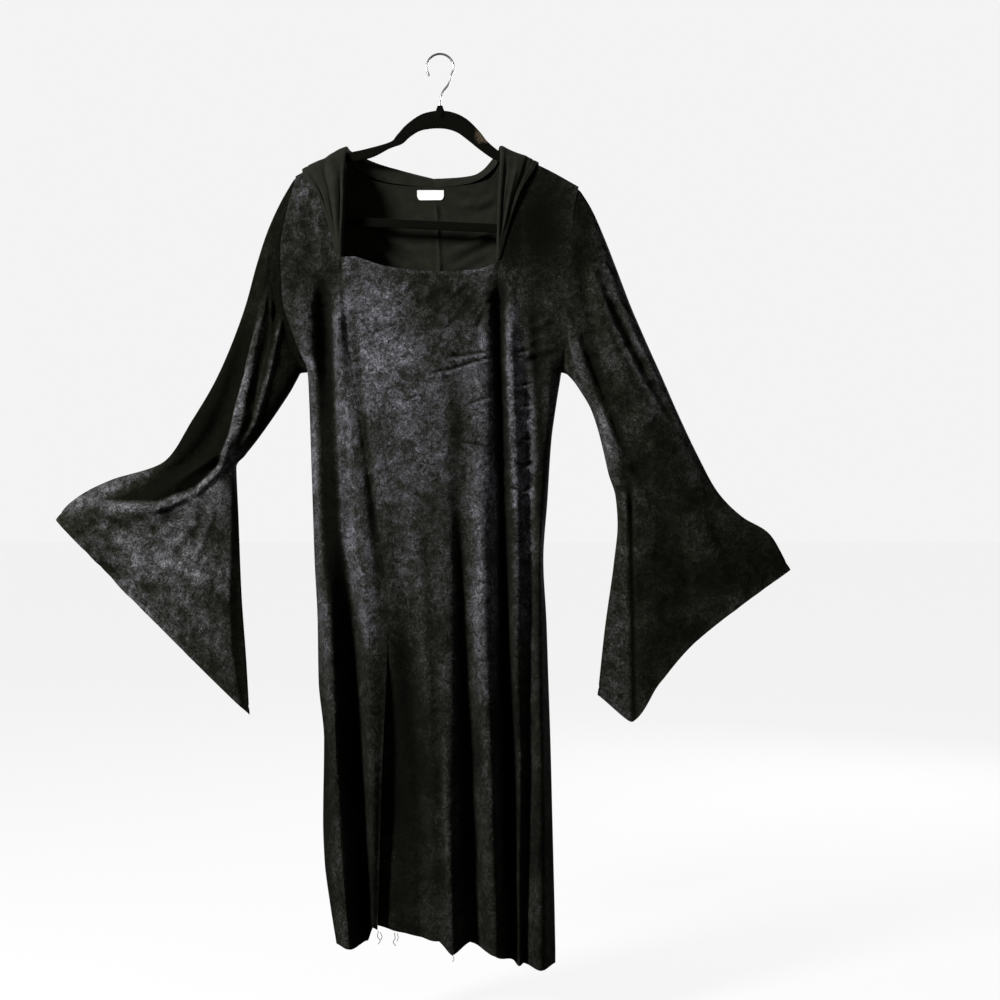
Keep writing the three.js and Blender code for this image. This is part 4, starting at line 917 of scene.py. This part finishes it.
# ---- Hood --------------------------------------------------------------------------------
# Two halves sewn together at the middle and to the neck's edge, thrown back so that they roll
# over the neck with their wrong side out, and hang behind in a shallow pouch. Each row leads
# from the neck seam over the roll to the hood's own front edge.
HOOD_MIDDLE = -12  # x of the seam between the halves
MIDDLE_ROW = [(HOOD_MIDDLE, y, z) for y, z in (
    (34, -206), (37, -199), (44, -193), (53, -201), (58, -320), (70, -430), (90, -370), (84, -285))]
RIGHT_HOOD = [
    [(-153.2, -26, -328), (-153, -30, -327), (-156, -33, -326), (-158, -33.2, -325),
     (-160, -33, -324), (-161.5, -32.6, -323), (-163, -32.2, -322), (-164.5, -31.6, -321)],
    [(-152.3, -25.5, -288), (-151.2, -31, -287), (-155, -36, -286), (-160, -36, -284),
     (-165, -34.5, -282), (-169, -33, -280), (-173, -31.8, -278), (-176, -31, -276)],
    [(-151.3, -22, -240), (-150, -29, -239), (-154, -36, -238), (-163, -36, -236),
     (-173, -33, -234), (-181, -30.5, -231), (-188, -29, -228), (-194, -28, -224)],
    [(-150.5, -16, -200), (-149, -23, -198), (-154, -30, -196), (-167, -29, -195),
     (-182, -25, -193), (-196, -21, -192), (-208, -17, -193), (-216, -14.5, -196)],
    [(-149.8, 0, -154.5), (-149, 0, -150.5), (-153, 1, -149), (-166, 2, -153.5),
     (-181, 3, -163), (-196, 4, -171), (-208, 5, -177.5), (-219, 6, -184)],
    [(-141, 15, -174), (-140, 18, -157), (-143, 26, -149.5), (-160, 35, -160), (-178, 41, -188),
     (-192, 45, -212), (-202, 45, -222), (-208, 43, -226)],
    [(-95, 30, -196), (-95, 31, -180), (-97, 37, -168), (-104, 47, -180), (-120, 56, -260),
     (-128, 64, -330), (-133, 76, -300), (-135, 72, -262)],
    MIDDLE_ROW,
]
LEFT_HOOD = [
    [(91, -26, -332.5), (90.6, -30, -332), (93, -33, -331.5), (94, -33.3, -331),
     (95, -33.2, -330), (95.8, -32.9, -329), (96.5, -32.5, -328), (97.2, -32, -327)],
    [(92.4, -25.5, -290), (91.6, -31, -289), (94.5, -36, -288), (97.5, -36, -286),
     (100.5, -34.7, -284), (103.5, -33.5, -282), (106.5, -32.6, -280), (109.5, -31.8, -278)],
    [(94.6, -22, -240), (93.6, -29, -239), (97, -36, -238), (103, -36, -236), (110, -33, -234),
     (116, -30.6, -231), (122, -29.2, -228), (127.5, -28.4, -225)],
    [(96.3, -16, -199), (95.2, -23, -197), (99.5, -30, -195), (109.5, -29, -194),
     (120.5, -25.5, -191.5), (131, -22, -190), (139, -18.5, -190.5), (146, -15.8, -192)],
    [(97, 0, -152.5), (96.2, 0, -148.5), (100, 1, -147), (112, 2, -152), (125, 3, -157),
     (138, 4, -162.5), (148, 5, -168), (158, 6, -173)],
    [(88, 15, -176), (87.4, 18, -162), (90, 26, -155.5), (103, 35, -165), (120, 41, -190),
     (132, 45, -212), (141, 45, -222), (147, 43, -226)],
    [(52, 30, -198), (52, 31, -191), (54, 37, -185), (60, 47, -192), (74, 56, -262),
     (82, 64, -330), (86, 76, -300), (88, 72, -262)],
    MIDDLE_ROW,
]
# Pleats of the roll, by row of the table (from the front corner) and place across it:
# out (+ raised), half-width, path
RIGHT_PLEATS = [
    (-3.4, 0.34, [(0.5, 4.6), (1.4, 4.2), (2.4, 3.9), (3.3, 4.0), (4.0, 4.6)]),
    (2.2, 0.40, [(0.4, 3.2), (1.6, 3.1), (2.8, 2.9), (3.8, 3.3)]),
    (-1.8, 0.26, [(1.0, 2.3), (2.2, 2.2), (3.4, 2.3)]),
    (-2.4, 0.30, [(1.4, 5.8), (2.4, 5.6), (3.4, 5.7)]),
    (-1.6, 0.4, [(4.2, 1.4), (5.0, 1.8), (6.0, 1.6), (6.8, 1.3)]),
    (-2.6, 0.5, [(5.0, 4.4), (5.8, 4.2), (6.8, 4.4)]),
    (2.4, 0.5, [(5.2, 5.6), (6.0, 5.8), (6.9, 5.9)]),
]
LEFT_PLEATS = [
    (-3.0, 0.36, [(0.4, 2.9), (1.4, 2.8), (2.4, 2.6), (3.4, 2.6), (4.0, 3.0)]),
    (2.6, 0.40, [(0.4, 1.9), (1.6, 1.8), (2.8, 1.7), (3.8, 1.9)]),
    (2.4, 0.42, [(0.5, 4.2), (1.6, 4.2), (2.8, 4.0), (3.8, 4.2)]),
    (-2.6, 0.34, [(0.8, 5.4), (2.0, 5.4), (3.2, 5.3), (4.0, 5.6)]),
    (-1.6, 0.4, [(4.2, 1.4), (5.0, 1.8), (6.0, 1.6), (6.8, 1.3)]),
    (-2.6, 0.5, [(5.0, 4.6), (5.8, 4.4), (6.8, 4.6)]),
]


def through(points, t):
    """Smooth curve through points laid along the first axis, at places t: Catmull-Rom."""
    n = len(points) - 1
    i = np.minimum(np.floor(t).astype(int), n - 1)
    f = (t - i)[:, None, None] if points.ndim == 3 else (t - i)[:, None]
    a, b, c, d = (points[np.clip(i + k, 0, n)] for k in (-1, 0, 1, 2))
    return 0.5 * (2 * b + (c - a) * f + (2 * a - 5 * b + 4 * c - d) * f**2
                  + (3 * b - a - 3 * c + d) * f**3)


LAST = 7  # last row and last column of a hood's table


def hood_half(table, pleats, is_left, seed):
    """Mid-surface of half the hood: smooth curves through the table both ways, with pleats
    and a stitched edge raised or pressed along the normals."""
    s, t = np.linspace(0, LAST, 126), np.linspace(0, LAST, 98)
    rows = through(np.array(table, float), s)
    grid = through(rows.transpose(1, 0, 2), t).transpose(1, 0, 2)
    out = normals(grid) * (1 if is_left else -1)
    s, t = s[:, None] + 0 * t, t + 0 * s[:, None]
    lift = sum(crease(s, t, *one) for one in pleats)
    lift = lift + crush(grid[..., 0], grid[..., 2] + 4 * grid[..., 1], seed, 120,
                        (-230, 165, -440, 260), (8, 22), (0.2, 0.6))
    inner = np.minimum(np.minimum(smooth(t / 0.5), smooth((LAST - s) / 0.5)), smooth(s / 0.3))
    lift = lift * inner * smooth((LAST - t) / 0.3)
    to_edge = np.linalg.norm(grid - grid[:, -1:], axis=-1)
    lift = lift - 0.8 * bell((to_edge - 9) / 1.8) * smooth(t / 6) * smooth(s / 1.5)
    grid = grid + out * lift[..., None]
    grid[-1, :, 0] = HOOD_MIDDLE + (SEAM if is_left else -SEAM)
    return grid, lift


for name, node, table, pleats, is_left, area, rests_on in (
    ("right_hood", "hood_right", RIGHT_HOOD, RIGHT_PLEATS, False, 0.070,
     ["front_right_panel", "back_right_panel"]),
    ("left_hood", "hood_left", LEFT_HOOD, LEFT_PLEATS, True, 0.057,
     ["front_left_panel", "back_left_panel"]),
):
    grid, lift = hood_half(table, pleats, is_left, 51 + is_left)
    sides = (WRONG_SIDE, BODY_VELVET) if is_left else (BODY_VELVET, WRONG_SIDE)
    # The velvet side's painted light and shade: 0.72, raised on the pleats' ridges and lowered in their
    # creases.
    piece = cloth(name, grid, 0.72 + 0.12 * lift, *sides, wall=1.3)
    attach(piece, "root")
    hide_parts(node)

# ---- Neck label --------------------------------------------------------------------------
# A blank white satin rectangle with rounded lower corners, sewn by its top edge under the
# middle of the back neck seam, where it hangs against the wrong side.
LEFT, RIGHT, TOP, BOTTOM = -38, 5, -211, -226.5  # of the label
CORNER = 5  # radius


def satin(name):
    """White satin: close fine ribs across it and a little shine."""
    material, tree, shader = blank(name)
    ribs = add(tree, "TexWave", {"Vector": add(tree, "UVMap", {}, uv_map="cloth"), "Scale": 900},
               "Fac", bands_direction="Y")
    feed(tree, shader, {
        "Base Color": ramp(tree, ribs, (0, (0.80, 0.80, 0.79)), (1, (0.93, 0.93, 0.92))),
        "Normal": bump(tree, ribs, 0.4, 0.0002), "Roughness": 0.42, "Sheen Weight": 0.2})
    return material


v = np.linspace(0, 1, 26)[:, None] + np.zeros(60)
inset = CORNER * (1 - np.sqrt(1 - np.maximum(0, 2 * v - 1) ** 2))
x = mix(LEFT + inset, RIGHT - inset, np.linspace(0, 1, 60))
z = mix(TOP, BOTTOM, v)
y = np.where(x < BACK_MIDDLE[0][0], panel_y(BACK_RIGHT_FOLDS, True, x, z),
             panel_y(BACK_LEFT_FOLDS, True, x, z))
y = y - 2.0 - 0.8 * v + 0.35 * np.sin(x / 6) * v  # in front of the cloth, and a little curled
white = satin("satin_white")
neck_label = cloth("blank_label", np.stack([x, y, z], -1), 0 * x + 0.5, white, white, wall=0.5)
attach(neck_label, "root")
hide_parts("neck_label")

# ---- Loose threads -----------------------------------------------------------------------
# A few raw ends of black thread left hanging from the hem beside the slit.
THREADS = [  # radius, path of x, y, z
    (0.5, [(-97, -22, -1396), (-98, -24, -1404), (-94, -25, -1410), (-97, -24, -1416)]),
    (0.5, [(-94, -22, -1398), (-91, -24, -1404), (-93, -26, -1409)]),
    (0.55, [(-72, -12, -1402), (-71, -14, -1410), (-74, -15, -1415), (-70, -15, -1421)]),
    (0.45, [(-68, -12, -1402), (-66, -13, -1408), (-68, -14, -1414)]),
    (0.45, [(22, -58, -1424), (24, -59, -1430), (22, -59, -1434)]),
]


def tube(path, radius, sides, steps):
    """Rings of a round rod along a smooth path: circles of the radius in the plane across the
    path, a few steps to each stretch of it, shrinking over a dome at both ends."""
    path = np.array(path, float)
    line = through(path, np.linspace(0, len(path) - 1, steps * (len(path) - 1) + 1))
    way = np.gradient(line, axis=0)
    way /= np.linalg.norm(way, axis=1, keepdims=True)
    side = np.cross(way, [0.0, 1.0, 0.0])
    side /= np.linalg.norm(side, axis=1, keepdims=True)
    dome = np.array([0.05, 0.6, 0.9])
    size = radius * np.concatenate([dome, np.ones(len(line)), dome[::-1]])
    side, other = (np.concatenate([v[:1].repeat(3, 0), v, v[-1:].repeat(3, 0)])
                   for v in (side, np.cross(way, side)))
    past = radius * np.sqrt(1 - dome[:, None] ** 2)
    line = np.concatenate([line[:1] - way[:1] * past, line, line[-1:] + way[-1:] * past[::-1]])
    a = np.linspace(0, 2 * np.pi, sides, endpoint=False)[:, None]
    ring = np.cos(a) * side[:, None] + np.sin(a) * other[:, None]
    return line[:, None] + size[:, None, None] * ring


def rods(name, stacks, material):
    """One mesh of rods, each a stack of rings that turn about its way. A single face closes
    each end, except on a looped rod, whose last ring joins its first."""
    points, faces, start = [], [], 0
    for rings, looped in stacks:
        rows, cols = rings.shape[:2]
        r, c = (v.ravel() for v in np.mgrid[0:rows if looped else rows - 1, 0:cols])
        below, beyond = (r + 1) % rows, (c + 1) % cols
        quads = [r * cols + c, r * cols + beyond, below * cols + beyond, below * cols + c]
        faces += (np.stack(quads, 1) + start).tolist()
        if not looped:
            last = start + (rows - 1) * cols
            faces += [list(range(start, start + cols))[::-1], list(range(last, last + cols))]
        points.append(rings.reshape(-1, 3) / 1000)
        start += rows * cols
    mesh = bpy.data.meshes.new(name)
    mesh.from_pydata(np.concatenate(points).tolist(), [], faces)
    mesh.materials.append(material)
    mesh.update()
    mesh.polygons.foreach_set("use_smooth", np.ones(len(mesh.polygons), bool))
    return in_scene(name, mesh)


def spun(name):
    """Black spun thread: a fine twist of lighter and darker bands."""
    material, tree, shader = blank(name)
    twist = add(tree, "TexWave", {"Vector": add(tree, "TexCoord", {}, "Object"), "Scale": 700},
                "Fac", bands_direction="DIAGONAL")
    feed(tree, shader, {
        "Base Color": ramp(tree, twist, (0, (0.004, 0.004, 0.004)), (1, (0.020, 0.019, 0.018))),
        "Roughness": 0.8})
    return material


threads = rods("hem_threads", [(tube(path, radius, 6, 8), False) for radius, path in THREADS],
               spun("thread_black"))
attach(threads, "root")

# ---- Hanger frame ------------------------------------------------------------------------
# One flat moulding with rounded edges, covered in short black flock: an arch with a collar for
# the hook, two sloping arms under the shoulders and a straight bar. The flock is worn to the
# brown plastic along the arch's right edge.
HANGER = [  # outer edge x, z, inner edge x, z, clockwise from the left tip
    (-222, -197.5, -206, -205), (-217.5, -191.5, -202, -199.5), (-192, -177.6, -188, -192.3),
    (-165, -164, -160, -177.8), (-152, -157.9, -146, -171.8), (-118.4, -150.4, -110, -164.5),
    (-80, -139.2, -80, -149.5), (-68.8, -128, -60.8, -142.4), (-56, -113.6, -48, -131.2),
    (-40, -100.8, -33, -122), (-24, -92.8, -17, -118.4), (0, -88.8, 0, -117.6),
    (24, -92.8, 15, -119.6), (44.8, -104, 30, -125.6), (64, -123.2, 48, -139.2),
    (75.2, -137.6, 64, -152), (91.2, -151.5, 84, -166), (99, -155.6, 96, -171),
    (128, -167.2, 124, -182.4), (168, -185, 165, -201.7), (208, -206.8, 194, -217),
    (212, -212, 198, -222), (212, -224, 198.5, -230), (206, -250, 192, -254),
    (196, -277, 187, -267), (184, -286.4, 178, -272.4), (150, -287.4, 150, -273),
    (60, -283.1, 60, -268.8), (-30, -278.9, -30, -264.6), (-120, -274.6, -120, -260.4),
    (-180, -271.6, -176, -257.6), (-196, -267, -186, -253.5), (-210, -248, -197, -238),
    (-221, -212, -206, -214),
]
COLLAR = [  # z, radius of the collar that holds the hook
    (-101.2, 1.0), (-101, 5.0), (-99.8, 7.4), (-96, 8.4), (-91, 7.4), (-86, 5.6), (-82.2, 4.4),
    (-81.0, 3.4), (-81.2, 2.2),
]
THICKNESS = 5.4  # of the moulding, front to back


def hanger_rings():
    """Rings round the moulding: smooth curves through its edges, and at each place a rounded
    oblong across it, from signed powers of a circle's cosine and sine. Each starts at the
    outer edge and goes forward first, so that the faces between rings point outwards."""
    count = len(HANGER)
    looped = np.array(HANGER[-3:] + HANGER + HANGER[:4], float)
    edges = through(looped[:, :, None], np.linspace(3, count + 3, count * 9, endpoint=False))[..., 0]
    outer, inner = edges[:, None, :2], edges[:, None, 2:]
    cosine, sine = (v(np.linspace(0, 2 * np.pi, 32, endpoint=False)) for v in (np.cos, np.sin))
    across = (np.sign(cosine) * np.abs(cosine) ** 0.5)[:, None]
    x, z = np.moveaxis((outer + inner) / 2 + (outer - inner) / 2 * across, -1, 0)
    return np.stack([x, -np.sign(sine) * np.abs(sine) ** 0.62 * THICKNESS / 2 + 0 * x, z], -1)


def collar_rings():
    """Flattened round rings of the collar, from the lowest up."""
    a = np.linspace(0, 2 * np.pi, 28, endpoint=False)
    z, radius = np.array(COLLAR).T[:, :, None]
    return np.stack([radius * np.cos(a), 0.6 * radius * np.sin(a), z + 0 * a], -1)


def flock(name):
    """Short black flock: a fine even grain, thin where the edge of the arch has been handled,
    so that brown plastic shows in specks there."""
    material, tree, shader = blank(name)
    place = add(tree, "TexCoord", {}, "Object")
    grain = add(tree, "TexNoise", {"Vector": place, "Scale": 900, "Detail": 3}, "Fac")
    blots = add(tree, "TexNoise", {"Vector": place, "Scale": 160, "Detail": 4}, "Fac")
    from_spot = add(tree, "Mapping", {"Vector": place, "Location": (-0.070, 0, 0.128)})
    away = add(tree, "VectorMath", {0: from_spot}, "Value", operation="LENGTH")
    near = add(tree, "MapRange", {"Value": away, "From Min": 0.026, "From Max": 0.004})
    worn = add(tree, "MapRange",
               {"Value": times(tree, near, blots), "From Min": 0.22, "From Max": 0.42})
    black = ramp(tree, grain, (0.35, (0.0012, 0.0014, 0.0007)), (0.7, (0.0034, 0.0035, 0.0024)))
    feed(tree, shader, {
        "Base Color": add(tree, "Mix", {"Factor": worn, "A": black, "B": (0.060, 0.044, 0.030, 1)},
                          "Result", data_type="RGBA"),
        "Normal": bump(tree, grain, 0.5, 0.0005),
        "Roughness": 0.92, "Specular IOR Level": 0.03, "Sheen Weight": 0.02})
    return material


flocked_hanger = rods("flocked_hanger", [(hanger_rings(), True), (collar_rings(), False)],
                      flock("flock_black"))
flocked_hanger.data.set_sharp_from_angle(angle=np.radians(50))
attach(flocked_hanger, "root")
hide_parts("hanger_frame")

# ---- Hook --------------------------------------------------------------------------------
# Bright steel wire with a domed end, screwed into the hanger's collar and bent to hang over a
# rail; it turns in the collar.
WIRE, BEND = 1.7, 21.7  # radius of the wire, and of its bend along the middle of the wire
HOOK = [(0, -97), (0, -76), (4, -60), (14, -46)]  # x, z of the shank, then the bend
HOOK += [(BEND * np.cos(a), -20 + BEND * np.sin(a)) for a in np.radians(np.arange(-35, 216, 25))]


def steel(name):
    """Drawn steel: bright, with a few duller spots."""
    material, tree, shader = blank(name)
    spots = add(tree, "TexNoise",
                {"Vector": add(tree, "TexCoord", {}, "Object"), "Scale": 260, "Detail": 5}, "Fac")
    feed(tree, shader, {
        "Base Color": ramp(tree, spots, (0, (0.42, 0.42, 0.42)), (1, (0.68, 0.68, 0.69))),
        "Roughness": add(tree, "MapRange", {"Value": spots, "To Min": 0.16, "To Max": 0.38}),
        "Metallic": 1})
    return material


hook = rods("wire_hook", [(tube([(x, 0, z) for x, z in HOOK], WIRE, 20, 10), False)],
            steel("steel_wire"))
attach(hook, "root")
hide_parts("hanger_hook")

# ---- Room, light and camera --------------------------------------------------------------
# A pale floor under the hem, an even white surround, and one broad soft light from the
# viewer's left with a weak one from the right; the camera looks straight at the gown.
floor_mesh = bpy.data.meshes.new("floor")
floor_mesh.from_pydata([(x, y, -1.56) for x, y in ((-30, -30), (30, -30), (30, 30), (-30, 30))], [],
                       [(0, 1, 2, 3)])
floor = in_scene("floor", floor_mesh)
pale, tree, shader = blank("floor_pale")
feed(tree, shader, {
    "Base Color": (0.10, 0.10, 0.10, 1), "Roughness": 0.9, "Specular IOR Level": 0.0,
    "Emission Color": (1, 1, 1, 1), "Emission Strength": 0.875})
floor_mesh.materials.append(pale)
floor.visible_diffuse = floor.visible_glossy = False  # it doesn't light the gown from below

world = bpy.data.worlds.new("surround")
bpy.context.scene.world = world
world.use_nodes = True
tree = world.node_tree
seen = add(tree, "LightPath", {}, "Is Camera Ray")  # bright as a backdrop, dim as a light
feed(tree, tree.nodes["Background"], {
    "Color": (1, 1, 1, 1),
    "Strength": add(tree, "MapRange", {"Value": seen, "To Min": 0.07, "To Max": 0.90})})

for name, place, aim, size, power in (
    ("window_light", (-2.25, -1.95, 0.45), (0, 0, -0.7), 0.8, 200),
    ("fill_light", (1.9, -2.3, -0.2), (0.1, 0, -0.8), 1.6, 6),
    ("back_light", (1.6, 2.6, 0.3), (0, 0, -0.7), 1.4, 60),
):
    lamp = bpy.data.lights.new(name, "AREA")
    lamp.shape, lamp.size, lamp.energy = "DISK", size, power
    light = in_scene(name, lamp)
    light.location = place
    way = np.array(aim) - np.array(place)
    light.rotation_euler = (np.arccos(-way[2] / np.linalg.norm(way)), 0, np.arctan2(-way[0], way[1]))

lens = bpy.data.cameras.new("camera")
lens.lens = 58.5
lens.sensor_width = 36
lens.clip_start = 0.05
lens.clip_end = 100
camera = in_scene("camera", lens)
camera.location = (0.096, -2.6, -0.712)
camera.rotation_euler = (np.pi / 2, 0, 0)
bpy.context.scene.camera = camera
bpy.context.scene.view_settings.view_transform = "Standard"
